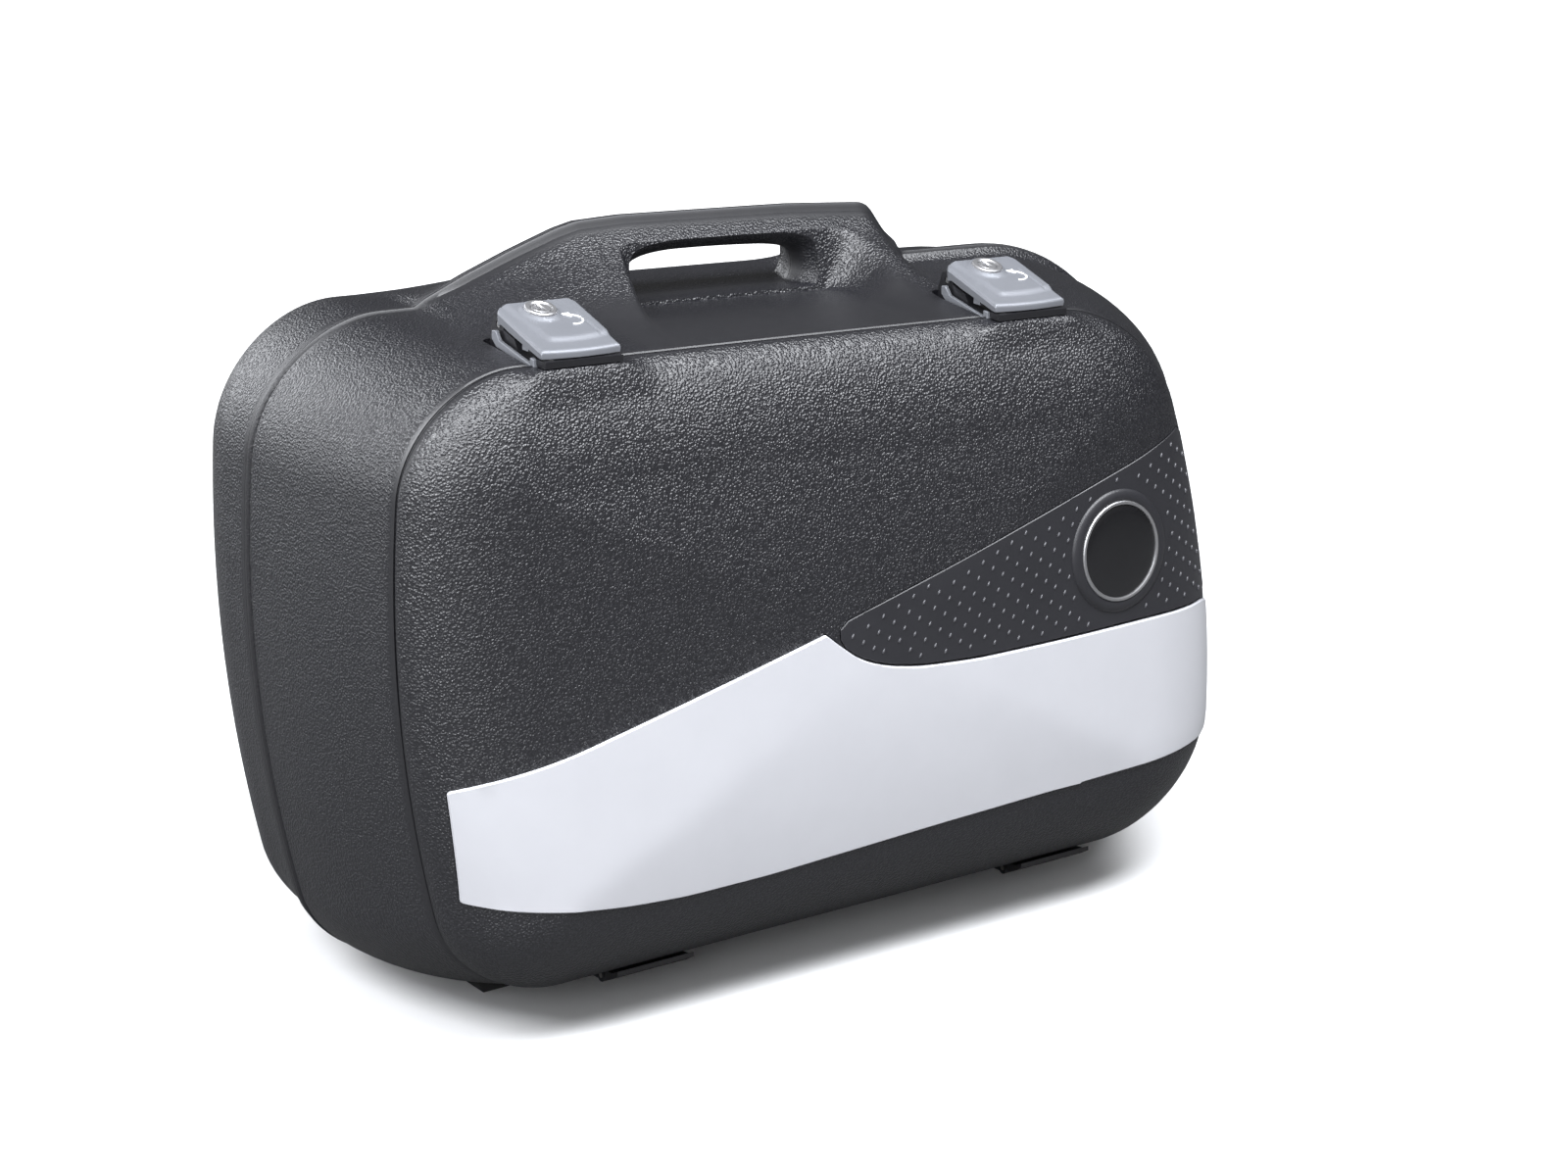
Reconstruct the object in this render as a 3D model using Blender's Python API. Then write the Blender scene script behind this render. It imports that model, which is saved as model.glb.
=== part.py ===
"""Hard motorcycle side case with a moulded handle, two draw latches and a bottom-hinged lid.

The frame: +X to the right when facing the lid, -Y out through the lid, +Z up. The case stands on
its feet at z = 0 and is centred on the Z axis.
"""

import math

import bmesh
import bpy
from mathutils import Matrix, Vector
from mathutils.bvhtree import BVHTree

MM = 0.001

# The whole case is moved by this much, so that its box is centred on the Z axis.
CENTRING = (0.96 * MM, -5.01 * MM, 0.0)

# Depths of the planes that divide the case, from the motorcycle side to the lid side.
BACK_Y = 121.7 * MM
BACK_BELT_Y = 71.5 * MM
BACK_SEAM_Y = 51.4 * MM
LID_SEAM_Y = -66.2 * MM

WALL = 4.0 * MM
LID_WALL = 3.5 * MM
GAP = 0.3 * MM
SEAM_GAP = 1.0 * MM

# Outlines across the case, in millimetres: corners (x, z) and radii run from the bottom left,
# counter-clockwise. The bows push the left, right and top sides out at their middles.
BACK_SEAM = {
    "corners": [(-241, 10), (248, 10), (227, 316), (-256, 344)],
    "radii": [46, 50, 74, 58],
    "bows": (21, 31, 2),
}
BACK_BELT = {
    "corners": [(-239, 10), (246, 10), (223, 313), (-258, 345)],
    "radii": [58, 58, 76, 60],
    "bows": (21, 31, 2),
}
BACK_RIM = {
    "corners": [(-216, 10), (220, 10), (198, 304), (-229, 330)],
    "radii": [50, 50, 54, 48],
    "bows": (5, 15, 1),
}
LID_SEAM = {
    "corners": [(-222, 26.5), (208.5, 26.5), (178, 313), (-238, 338)],
    "radii": [50, 59, 63, 52],
    "bows": (21, 31, 2),
}
BOW_CENTRE_Z = 174 * MM
BOW_HALF_HEIGHT = 165 * MM
BOW_HALF_WIDTH = 272 * MM
BOW_SIDE_X = 200 * MM
BOW_TOP_SHARE = 0.7
ARC_STEPS = 6
LONG_STEPS = 6
SHORT_STEPS = 3

# Back shell: a rim round a recess, and a deeper well with a raised block in the recess.
RIM_WIDTH = 7 * MM
RECESS_DEPTH = 12 * MM
RECESS_DRAFT = 1.5 * MM
WELL_DEPTH = 38 * MM
WELL = [(-128, 250), (-104, 52), (90, 52), (112, 236)]
BLOCK = [(-94, 60), (-80, 45), (66, 45), (80, 60), (80, 120), (70, 131), (-84, 131), (-94, 120)]
BLOCK_SINK = 20 * MM

# Moulded pockets in the back: low corner, high corner, depth and lean to the right at the bottom.
POCKETS = {
    "tall_slot": ((-208, 168), (-197, 248), 7, 3),
    "tall_pocket": ((-189, 168), (-170, 246), 7, 8),
    "low_slot": ((-207, 72), (-199, 146), 7, 7),
    "top_slot_left": ((-110, 294), (-45, 302), 5, 0),
    "top_pocket_left": ((-108, 262), (-45, 288), 9, 0),
    "top_slot_right": ((25, 286), (90, 294), 5, 0),
    "top_pocket_right": ((25, 254), (88, 280), 9, 0),
    "tall_slot_right": ((178, 168), (189, 240), 7, -3),
    "low_slot_right": ((184, 72), (192, 146), 7, -7),
}

# Centre shell: how late it tapers towards the lid, and its tongue that enters the lid.
TAPER_POWER = 2.0
TONGUE_INSET = 7.5 * MM
TONGUE_WALL = 3.0 * MM
TONGUE_LENGTH = 5.0 * MM
TONGUE_ROOT = 10 * MM

# Lid: elliptical rounding of LID_ROUND by LID_DEPTH, shallower towards the top, then a crown.
LID_ROUND = 65 * MM
LID_DEPTH = 48.6 * MM
LID_TILT = 23.7 * MM
LID_CROWN = 6.9 * MM
LID_TOP_Z = 338 * MM

# Handle, as the line (x, z) of its ridge, and the finger opening in it.
HANDLE_LINE = [
    (-178, 336), (-167, 343.4), (-143, 352.7), (-118, 361), (-92, 369), (-80, 371.6), (-53, 370.8),
    (47, 363.3), (91, 358.3), (96, 355.5), (102, 348), (116, 327), (120, 316),
]
HANDLE_BASE = [(-178, 325), (120, 312)]
HANDLE_HALF_DEPTH = 16 * MM
HANDLE_REAR_DROP = 6.0
HANDLE_END_INSET = 12.0
HANDLE_OPENING = [(-56, 329.4), (46, 323), (49, 333), (45, 342.8), (3, 347.4), (-42, 350), (-57, 342)]

# Trim panels set into the lid, as (x, z) outlines seen from the front.
TRIM_BOTTOM = [
    (-233, 87), (-214, 82.5), (-187, 78), (-155, 73.5), (-123, 71), (-73, 71), (26, 75), (216, 81),
]
TRIM_TOP = [
    (221, 153), (170, 156), (109, 157), (51, 158.5), (15, 161.5), (-6, 166), (-20, 172), (-30, 180),
    (-39, 188), (-87, 176.5), (-135, 165), (-181, 154), (-224, 147.5), (-238, 144),
]
PANEL_TOP = [(204, 249), (179, 244), (134, 233), (83, 220), (37, 208), (-30, 191.2)]
PANEL_GAP = 1.2
PANEL_CLEARANCE = 0.4
PANEL_SINK = 1.8 * MM
TRIM_PROUD = 1.2 * MM
PANEL_PROUD = 0.4 * MM
CELL = 30 * MM
BADGE_CENTRE = (146 * MM, 195.5 * MM)
BADGE_RADIUS = 25.5 * MM
BADGE_RING_OUTSIDE = 1.8 * MM

# Latches: x of each centre, z of its seat, and the slope of the top of the case under it.
# Latch profiles are (depth, height over the seat), in millimetres.
LATCHES = {"left": (-151, 330.8), "right": (109, 315.4)}
TOP_SLOPE = math.radians(3.3)
SEAT_HALF_WIDTH = 24 * MM
SEAT_REAR_Y = -21 * MM
LEVER_PIVOT = (-30.0, 15.0)
LEVER_PIN_RADIUS = 1.5 * MM
LEVER_PROFILE = [
    (-25.5, 13), (-25.5, 22), (-30, 24.3), (-75, 12), (-76.5, 10.4), (-76.5, 8.6), (-72, 9),
    (-45, 15.5), (-36, 17.5), (-34, 13),
]
LEVER_INSIDE = [(-24, 0), (-24, 20.3), (-30, 21.6), (-73.5, 9.7), (-73.5, 0)]
LEVER_LUG = [(-26.6, 12.2), (-33, 12.2), (-33.6, 21.6), (-26.6, 23)]
LEVER_HALF_WIDTH = 21.5
LEVER_INSIDE_HALF = 19.9
LUG_HALF_WIDTH = 14.6
BASE_PROFILE = [
    (-64, 0.3), (-23, 0.3), (-23, 11), (-26, 19), (-33, 19), (-36, 13.5), (-46, 11), (-50, 6), (-64, 4.5),
]
BASE_CHANNEL = [(-70, 3), (-31, 3), (-20, 8), (-20, 30), (-70, 30)]
BASE_HALF_WIDTH = 19.5
CHANNEL_HALF_WIDTH = 15.5
KEEPER_PROFILE = [(-42, 11.6), (-34.4, 11.6), (-34.4, 13.6), (-42, 13.6)]
KEEPER_ACROSS = (-17, -9.2)
HOOK_PIVOT = (-56.0, 9.6)
HOOK_PROFILE = [(-53.8, 8), (-54.2, 11.4), (-58, 11.4), (-73, 8.6), (-73, 6.6), (-58, 7.2)]
HOOK_HALF_WIDTH = 13.8
HOOK_PIN_RADIUS = 1.0 * MM
EYE_PROFILE = [(-53.5, 7.4), (-53.5, 17), (-59, 15.4), (-59, 7.4)]
EYE_ACROSS = (14.5, 19.95)
CATCH_PROFILE = [(-67.6, 4.0), (-69.6, 3.6), (-71, 3.0), (-78, 3.0), (-78, 6.2), (-68, 6.2)]
CATCH_PAD = [(-67.8, 2.4), (-67.8, 1), (-73, -1), (-81.5, -9.5), (-78.4, 2.6), (-71, 2.6)]
CATCH_HALF_WIDTH = 21
PIN_CLEARANCE = 0.3 * MM

# Key lock on the lever: where it stands, and its radii.
KEY_Y = -41.0
KEY_X = -3.0
KEY_RADIUS = 4.6 * MM
KEY_BACK = -11.4 * MM
KEY_FACE = 1.2 * MM
KEY_SLOT = (1.2 * MM, 5.6 * MM, 5.0 * MM)
TONGUE_REACH = 9.5 * MM
TONGUE_HALF = 2.5 * MM
TONGUE_THICKNESS = 2.5 * MM

# Hinges along the bottom of the lid seam.
HINGE_X = {"left": -125 * MM, "right": 120 * MM}
HINGE_Z = 21.6 * MM
HINGE_RADIUS = 3.4 * MM
HINGE_PIN_RADIUS = 1.5 * MM
HINGE_HALF_WIDTH = 22 * MM
HINGE_GAP = 0.2 * MM
HINGE_BASE_PROFILE = [(-64.9, 19.2), (-64.9, 25.4), (-45, 20.8), (-45, 18.6)]
HINGE_LID_PROFILE = [
    (-67.4, 19.2), (-67.4, 25.0), (-70, 25.4), (-78, 26.6), (-83, 29.0), (-83, 26.6), (-76, 22.6),
]

# Mounting bars: upper and lower ends of each bar's centre line, and rivets as fractions of it.
BARS = {"left": ((-150, 303), (-112, 28)), "right": ((137, 290), (99, 28))}
BAR_WIDTH = 18 * MM
BAR_LIP = 11 * MM
BAR_THICKNESS = 2 * MM
RIVET_PLACES = (0.035, 0.41, 0.57, 0.945)
RIVET_RADIUS = 2 * MM
RIVET_HEAD_RADIUS = 4 * MM
RIVET_HEAD_HEIGHT = 1.5 * MM

# Luggage straps inside the back.
STRAP_X = {"left": -87 * MM, "right": 84 * MM}
STRAP_HALF_WIDTH = 12.5 * MM
STRAP_Z = (64 * MM, 228 * MM)
STRAP_THICKNESS = 1.5 * MM
BUCKLE_HALF_WIDTH = 17 * MM
BUCKLE_Z = (140 * MM, 178 * MM)
BUCKLE_THICKNESS = 5.6 * MM

# Feet under the case, by their centres (x, y).
FEET = {
    "rear_left": (-168, 98), "rear_right": (165, 98), "front_left": (-172, 2), "front_right": (165, 2),
}
FOOT_HALF_WIDTH = 15 * MM
FOOT_HALF_DEPTH = 9 * MM
FOOT_CHAMFER = 6 * MM

SMOOTH_ANGLE = math.radians(35)


def clear_scene():
    for item in list(bpy.data.objects):
        bpy.data.objects.remove(item, do_unlink=True)


def material(name, colour, roughness, metallic=0.0):
    made = bpy.data.materials.new(name)
    made.use_nodes = True
    shader = made.node_tree.nodes["Principled BSDF"]
    shader.inputs["Base Color"].default_value = (*colour, 1.0)
    shader.inputs["Roughness"].default_value = roughness
    shader.inputs["Metallic"].default_value = metallic
    made.diffuse_color = (*colour, 1.0)
    return made


def add_object(name, bm, surface=None, smooth=False):
    """Turns a bmesh into an object. Smooth pieces keep their sharp edges."""
    mesh = bpy.data.meshes.new(name)
    bm.to_mesh(mesh)
    bm.free()
    if smooth:
        mesh.shade_smooth()
        mesh.set_sharp_from_angle(angle=SMOOTH_ANGLE)
    made = bpy.data.objects.new(name, mesh)
    bpy.context.scene.collection.objects.link(made)
    if surface:
        mesh.materials.append(surface)
    return made


def boolean(target, tool, operation="DIFFERENCE"):
    tool.hide_render = True
    tool.display_type = "WIRE"
    step = target.modifiers.new(tool.name, "BOOLEAN")
    step.operation = operation
    step.object = tool
    step.solver = "EXACT"


# Outlines and lofts -------------------------------------------------------------------------


def mix(a, b, t):
    return a + (b - a) * t


def blend(first, second, t):
    """The outline a fraction t of the way from the first outline to the second."""
    corners = zip(first["corners"], second["corners"])
    return {
        "corners": [(mix(a[0], b[0], t), mix(a[1], b[1], t)) for a, b in corners],
        "radii": [mix(a, b, t) for a, b in zip(first["radii"], second["radii"])],
        "bows": [mix(a, b, t) for a, b in zip(first["bows"], second["bows"])],
    }


def outline(shape, inset=0.0):
    """Points (x, z) of a rounded four-sided outline, counter-clockwise from the bottom left."""
    corners = [Vector(corner) * MM for corner in shape["corners"]]
    arcs = []
    for i, corner in enumerate(corners):
        before = (corner - corners[i - 1]).normalized()
        after = (corners[(i + 1) % 4] - corner).normalized()
        turn = math.atan2(before.x * after.y - before.y * after.x, before.dot(after))
        radius = max(shape["radii"][i] * MM, inset + 3 * MM)
        outward = Vector((before.y, -before.x))
        centre = corner - before * math.tan(turn / 2) * radius - outward * radius
        start = math.atan2(outward.y, outward.x)
        angles = [start + turn * step / ARC_STEPS for step in range(ARC_STEPS + 1)]
        arcs.append(
            [centre + Vector((math.cos(a), math.sin(a))) * (radius - inset) for a in angles]
        )
    points = []
    for i, arc in enumerate(arcs):
        points += arc
        steps = LONG_STEPS if i in (0, 2) else SHORT_STEPS
        following = arcs[(i + 1) % 4][0]
        points += [arc[-1].lerp(following, step / steps) for step in range(1, steps)]
    return [bowed(point, shape["bows"]) for point in points]


def bowed(point, bows):
    left, right, top = bows
    height = (point.y - BOW_CENTRE_Z) / BOW_HALF_HEIGHT
    side = max(-1, min(1, point.x / BOW_SIDE_X))
    bow = left if side < 0 else right
    x = point.x + bow * MM * side * max(0, 1 - height**2)
    upper = max(0, min(1, height / BOW_TOP_SHARE))
    z = point.y + top * MM * upper * (1 - (point.x / BOW_HALF_WIDTH) ** 2)
    return Vector((x, z))


def ring(shape, y, inset=0.0):
    return [Vector((p.x, y, p.y)) for p in outline(shape, inset)]


def loft_mesh(rings, closed=False):
    """Faces through the rings in turn. The ends are capped, or joined to each other when closed."""
    bm = bmesh.new()
    loops = [[bm.verts.new(point) for point in points] for points in rings]
    pairs = list(zip(loops, loops[1:])) + ([(loops[-1], loops[0])] if closed else [])
    for low, high in pairs:
        for i in range(len(low)):
            j = (i + 1) % len(low)
            bm.faces.new((low[i], low[j], high[j], high[i]))
    if not closed:
        bm.faces.new(loops[0])
        bm.faces.new(loops[-1])
    bmesh.ops.recalc_face_normals(bm, faces=bm.faces[:])
    return bm


def section(points, y):
    """A ring at depth y from (x, z) points in millimetres."""
    return [Vector((x * MM, y, z * MM)) for x, z in points]


def prism_mesh(points, low_y, high_y):
    """A solid with an (x, z) outline, in millimetres, between two depths."""
    return loft_mesh([section(points, y) for y in (low_y, high_y)])


def across_mesh(profile, low, high):
    """A solid with a (y, z) side profile, between two places along X, all in millimetres."""
    return loft_mesh([[Vector((x, y, z)) * MM for y, z in profile] for x in (low, high)])


def box_mesh(low, high):
    bm = bmesh.new()
    bmesh.ops.create_cube(bm, size=1.0)
    size = Vector(high) - Vector(low)
    bmesh.ops.scale(bm, vec=size, verts=bm.verts)
    bmesh.ops.translate(bm, vec=Vector(low) + size / 2, verts=bm.verts)
    return bm


def turned_mesh(profile, sides):
    """A solid turned about Z from a profile of (radius, z). A profile that starts on the axis
    gives a solid piece, and any other a ring."""
    circle = [2 * math.pi * i / sides for i in range(sides)]
    rings = [
        [Vector((r * math.cos(t), r * math.sin(t), z)) for t in circle] for r, z in profile if r > 0
    ]
    return loft_mesh(rings, closed=profile[0][0] > 0)


def turned(name, profile, surface, spot, axis, sides=20, place=None):
    """A turned piece at a spot, along an axis, in the coordinates of the place."""
    made = add_object(name, turned_mesh(profile, sides), surface, smooth=True)
    turn = Vector(axis).to_track_quat("Z", "Y").to_matrix().to_4x4()
    made.matrix_world = (place or Matrix()) @ Matrix.Translation(spot) @ turn
    return made


def rod_profile(radius, low, high):
    return [(0, low), (radius, low), (radius, high), (0, high)]


def tube_profile(outer, inner, low, high):
    return [(inner, low), (outer, low), (outer, high), (inner, high)]


# Shells -------------------------------------------------------------------------------------


def back_rounding(angle, wall=0.0):
    """A ring on the rounding between the belt of the back shell and its rim."""
    shape = blend(BACK_BELT, BACK_RIM, 1 - math.cos(angle))
    y = BACK_BELT_Y + (BACK_Y - BACK_BELT_Y - wall) * math.sin(angle)
    return ring(shape, y, wall * math.cos(angle))


def back_shell(surface):
    """The motorcycle side: a wall round a recessed back, with the inner half of the handle."""
    angles = [math.radians(a) for a in (0, 30, 54, 74)]
    floor_y = BACK_Y - RECESS_DEPTH
    seam_y = BACK_SEAM_Y + GAP / 2
    floor_inset = RIM_WIDTH + RECESS_DRAFT
    rim = [
        ring(BACK_RIM, floor_y, floor_inset),
        ring(BACK_RIM, BACK_Y - 2 * MM, RIM_WIDTH),
        ring(BACK_RIM, BACK_Y, RIM_WIDTH - 2 * MM),
        ring(BACK_RIM, BACK_Y, 2.5 * MM),
        ring(BACK_RIM, BACK_Y - 0.4 * MM, 0.5 * MM),
    ]
    outside = [back_rounding(a) for a in reversed(angles)] + [ring(BACK_SEAM, seam_y)]
    inside = [ring(BACK_SEAM, seam_y, WALL)] + [back_rounding(a, WALL) for a in angles]
    inside += [
        ring(BACK_RIM, BACK_Y - 7 * MM, RIM_WIDTH - WALL),
        ring(BACK_RIM, floor_y - WALL, floor_inset - WALL),
    ]
    made = add_object("back_shell", loft_mesh(rim + outside + inside), surface, smooth=True)

    well_y = BACK_Y - WELL_DEPTH
    middle = sum((Vector(p) for p in WELL), Vector((0, 0))) / len(WELL)
    wall_mm = WALL / MM
    wide = [Vector(p) + (Vector(p) - middle).normalized() * wall_mm * 1.5 for p in WELL]
    well_wall = prism_mesh(wide, well_y - WALL, floor_y - WALL / 2)
    boolean(made, add_object("well_wall", well_wall), "UNION")
    for name, (low, high, depth, lean) in POCKETS.items():
        bottom_y = floor_y - depth * MM
        wall = pocket_mesh(low, high, bottom_y - WALL, floor_y - WALL / 2, lean, wall_mm)
        boolean(made, add_object(name + "_wall", wall), "UNION")
    handle_half(made, "inner", seam_y, BACK_SEAM_Y + HANDLE_HALF_DEPTH, HANDLE_REAR_DROP)
    beyond = BACK_Y + 5 * MM
    boolean(made, add_object("well_cut", prism_mesh(WELL, well_y, beyond)))
    for name, (low, high, depth, lean) in POCKETS.items():
        cut = pocket_mesh(low, high, floor_y - depth * MM, beyond, lean)
        boolean(made, add_object(name + "_cut", cut))
    block = prism_mesh(BLOCK, well_y - WALL / 2, BACK_Y - BLOCK_SINK)
    boolean(made, add_object("well_block", block), "UNION")
    return made


def pocket_mesh(low, high, low_y, high_y, lean, margin=0.0):
    """A four-sided pocket or its wall, which leans to the right at the bottom."""
    points = [
        (low[0] - margin + lean, low[1] - margin),
        (high[0] + margin + lean, low[1] - margin),
        (high[0] + margin, high[1] + margin),
        (low[0] - margin, high[1] + margin),
    ]
    return prism_mesh(points, low_y, high_y)


def handle_line(drop, end_inset):
    """The ridge of the handle, lowered by a drop and shortened at its steep right end."""
    base = HANDLE_LINE[-1][1]
    rise = max(z for _, z in HANDLE_LINE) - base
    reach = HANDLE_LINE[-1][0]
    line = []
    for x, z in HANDLE_LINE:
        end_share = max(0, x / reach) ** 2
        line.append((x - end_inset * end_share, z - drop * (z - base) / rise))
    return line


def handle_half(shell, side, seam_y, face_y, drop):
    """Joins one half of the moulded handle to a shell and cuts the finger opening."""
    left, right = HANDLE_BASE
    sections = [
        section([left, right] + HANDLE_LINE[::-1], seam_y),
        section([left, right] + handle_line(drop, HANDLE_END_INSET)[::-1], face_y),
    ]
    boolean(shell, add_object("handle_" + side, loft_mesh(sections)), "UNION")
    low, high = sorted((seam_y, face_y))
    cut = prism_mesh(HANDLE_OPENING, low - 5 * MM, high + 5 * MM)
    boolean(shell, add_object("handle_opening_" + side, cut))


def centre_outline(y):
    """The outline of the centre shell at a depth. It tapers late, close to the lid."""
    share = (BACK_SEAM_Y - y) / (BACK_SEAM_Y - LID_SEAM_Y)
    return blend(BACK_SEAM, LID_SEAM, share**TAPER_POWER)


def centre_shell(surface):
    """The ring between the two seams, with the outer half of the handle and the latch seats."""
    seam_y = BACK_SEAM_Y - GAP / 2
    inner = TONGUE_INSET + TONGUE_WALL
    middles = [mix(BACK_SEAM_Y, LID_SEAM_Y, share) for share in (0.25, 0.5, 0.75)]
    root_y = LID_SEAM_Y + TONGUE_ROOT
    tongue_y = LID_SEAM_Y - TONGUE_LENGTH
    rings = [ring(BACK_SEAM, seam_y)] + [ring(centre_outline(y), y) for y in middles]
    rings += [
        ring(LID_SEAM, LID_SEAM_Y),
        ring(LID_SEAM, LID_SEAM_Y, TONGUE_INSET),
        ring(LID_SEAM, tongue_y, TONGUE_INSET),
        ring(LID_SEAM, tongue_y, inner),
        ring(LID_SEAM, LID_SEAM_Y + WALL, inner),
        ring(centre_outline(root_y), root_y, WALL),
    ]
    rings += [ring(centre_outline(y), y, WALL) for y in reversed(middles)]
    rings += [ring(BACK_SEAM, seam_y, WALL)]
    made = add_object("centre_shell", loft_mesh(rings, closed=True), surface, smooth=True)
    handle_half(made, "outer", seam_y, BACK_SEAM_Y - HANDLE_HALF_DEPTH, 0.0)
    for side in LATCHES:
        half = SEAT_HALF_WIDTH
        wall = box_mesh(
            (-half - 3 * MM, LID_SEAM_Y + 3 * MM, -5 * MM), (half + 3 * MM, SEAT_REAR_Y + 3 * MM, 2 * MM)
        )
        boolean(made, latch_piece(side, "seat_wall", wall), "UNION")
        seat = box_mesh((-half, LID_SEAM_Y - 10 * MM, 0), (half, SEAT_REAR_Y, 30 * MM))
        boolean(made, latch_piece(side, "seat_cut", seat))
    return made


def lid_ring(angle, wall=0.0):
    """A ring on the lid's rounding, offset inwards by the wall."""
    points = []
    for p in outline(LID_SEAM, LID_ROUND * (1 - math.cos(angle)) + wall * math.cos(angle)):
        depth = LID_DEPTH - LID_TILT * p.y / LID_TOP_Z
        points.append(Vector((p.x, LID_SEAM_Y - (depth - wall) * math.sin(angle), p.y)))
    return points


def crown_ring(scale, wall=0.0):
    """A ring on the crowned front of the lid, shrunk towards its middle."""
    points = []
    for p in outline(LID_SEAM, LID_ROUND):
        x, z = p.x * scale, (p.y - BOW_CENTRE_Z) * scale + BOW_CENTRE_Z
        depth = LID_DEPTH - LID_TILT * z / LID_TOP_Z + LID_CROWN * (1 - scale**2)
        points.append(Vector((x, LID_SEAM_Y - depth + wall, z)))
    return points


def lid_rings(wall=0.0):
    rings = [lid_ring(math.radians(a), wall) for a in (14, 28, 44, 60, 76, 90)]
    return rings + [crown_ring(s, wall) for s in (0.75, 0.45, 0.15)]


def front_spot(face, x, z):
    """The point of the lid's outer face behind (x, z), and the direction out of the face."""
    spot, normal, _, _ = face.ray_cast(Vector((x, -1, z)), Vector((0, 1, 0)))
    return spot, normal if normal.y < 0 else -normal


def sheet_mesh(points, low, high, face):
    """A plate that follows the lid, between two offsets outwards from its face."""
    flat = bmesh.new()
    whole = flat.faces.new([flat.verts.new((x * MM, 0, z * MM)) for x, z in points])
    spans = ([v.co.x for v in whole.verts], [v.co.z for v in whole.verts])
    for span, direction in zip(spans, (Vector((1, 0, 0)), Vector((0, 0, 1)))):
        count = int((max(span) - min(span)) / CELL)
        for i in range(1, count + 1):
            place = direction * mix(min(span), max(span), i / (count + 1))
            geometry = flat.verts[:] + flat.edges[:] + flat.faces[:]
            bmesh.ops.bisect_plane(flat, geom=geometry, plane_co=place, plane_no=direction)
    bmesh.ops.triangulate(flat, faces=flat.faces[:])
    flat.verts.index_update()

    solid = bmesh.new()
    lower, upper = [], []
    for vert in flat.verts:
        spot, outward = front_spot(face, vert.co.x, vert.co.z)
        lower.append(solid.verts.new(spot + outward * low))
        upper.append(solid.verts.new(spot + outward * high))
    for triangle in flat.faces:
        corners = [v.index for v in triangle.verts]
        solid.faces.new([upper[i] for i in corners])
        solid.faces.new([lower[i] for i in reversed(corners)])
    for edge in flat.edges:
        if len(edge.link_faces) == 1:
            loop = edge.link_loops[0]
            a, b = loop.vert.index, loop.link_loop_next.vert.index
            solid.faces.new((upper[b], upper[a], lower[a], lower[b]))
    flat.free()
    return solid


def grown(points, amount):
    """The outline moved outwards by an amount, for points in counter-clockwise order."""
    moved = []
    for i, point in enumerate(points):
        here = Vector(point)
        before = (here - Vector(points[i - 1])).normalized()
        after = (Vector(points[(i + 1) % len(points)]) - here).normalized()
        sides = Vector((before.y, -before.x)), Vector((after.y, -after.x))
        middle = (sides[0] + sides[1]).normalized()
        moved.append(here + middle * amount / max(0.6, middle.dot(sides[0])))
    return moved


def trim_outline():
    return TRIM_BOTTOM + TRIM_TOP


def panel_outline():
    """The studded panel lies between the trim's upper edge and its own upper edge."""
    edge = [(x, z + PANEL_GAP) for x, z in TRIM_TOP if PANEL_TOP[-1][0] <= x <= PANEL_TOP[0][0]]
    right = (TRIM_TOP[0][0] - 2, TRIM_TOP[0][1] + PANEL_GAP)
    return edge[::-1] + [right] + PANEL_TOP


def lid_shell(surface, face):
    """The outer shell that opens, with pockets for its trim and pads for the catches."""
    seam_y = LID_SEAM_Y - SEAM_GAP
    outer = [ring(LID_SEAM, seam_y)] + lid_rings()
    inner = [ring(LID_SEAM, seam_y, LID_WALL)] + lid_rings(LID_WALL)
    made = add_object("lid_shell", loft_mesh(outer[::-1] + inner), surface, smooth=True)
    for side in LATCHES:
        pad = across_mesh(CATCH_PAD, -CATCH_HALF_WIDTH - 1, CATCH_HALF_WIDTH + 1)
        boolean(made, latch_piece(side, "catch_pad", pad), "UNION")
    for name, points in (("trim_pocket", trim_outline()), ("panel_pocket", panel_outline())):
        cutter = sheet_mesh(grown(points, PANEL_CLEARANCE), -PANEL_SINK, 6 * MM, face)
        boolean(made, add_object(name, cutter))
    return made


def lid_trim(face, surfaces):
    """The two panels set into the lid, and the round badge in the studded one."""
    floor = GAP - PANEL_SINK
    trim = sheet_mesh(trim_outline(), floor, TRIM_PROUD, face)
    add_object("silver_trim", trim, surfaces["silver"])
    panel = sheet_mesh(panel_outline(), floor, PANEL_PROUD, face)
    panel = add_object("studded_panel", panel, surfaces["smooth"])
    spot, outward = front_spot(face, *BADGE_CENTRE)
    outside = BADGE_RADIUS + BADGE_RING_OUTSIDE
    inside = BADGE_RADIUS - 0.6 * MM
    hole = rod_profile(outside + 1.1 * GAP, -6 * MM, 8 * MM)
    boolean(panel, turned("badge_hole", hole, None, spot, outward, 32))
    low = floor + 2 * GAP
    collar = tube_profile(outside, inside, low, 2.2 * MM)
    turned("badge_ring", collar, surfaces["chrome"], spot, outward, 32)
    edge = inside - GAP
    disc = [(0, low), (edge, low), (edge, 1.0 * MM), (0.7 * edge, 1.7 * MM), (0, 1.7 * MM)]
    turned("badge_disc", disc, surfaces["gloss"], spot, outward, 32)


def lid_seal(surface):
    """A rubber ring in the lid, in front of the centre shell's tongue."""
    high_y = LID_SEAM_Y - TONGUE_LENGTH - 0.4 * MM
    low_y = high_y - 2.8 * MM
    outer, inner = TONGUE_INSET + 0.9 * MM, TONGUE_INSET + 4.1 * MM
    corners = ((low_y, inner), (high_y, inner), (high_y, outer), (low_y, outer))
    rings = [ring(LID_SEAM, y, inset) for y, inset in corners]
    add_object("lid_seal", loft_mesh(rings, closed=True), surface, smooth=True)


# Latches ------------------------------------------------------------------------------------


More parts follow.
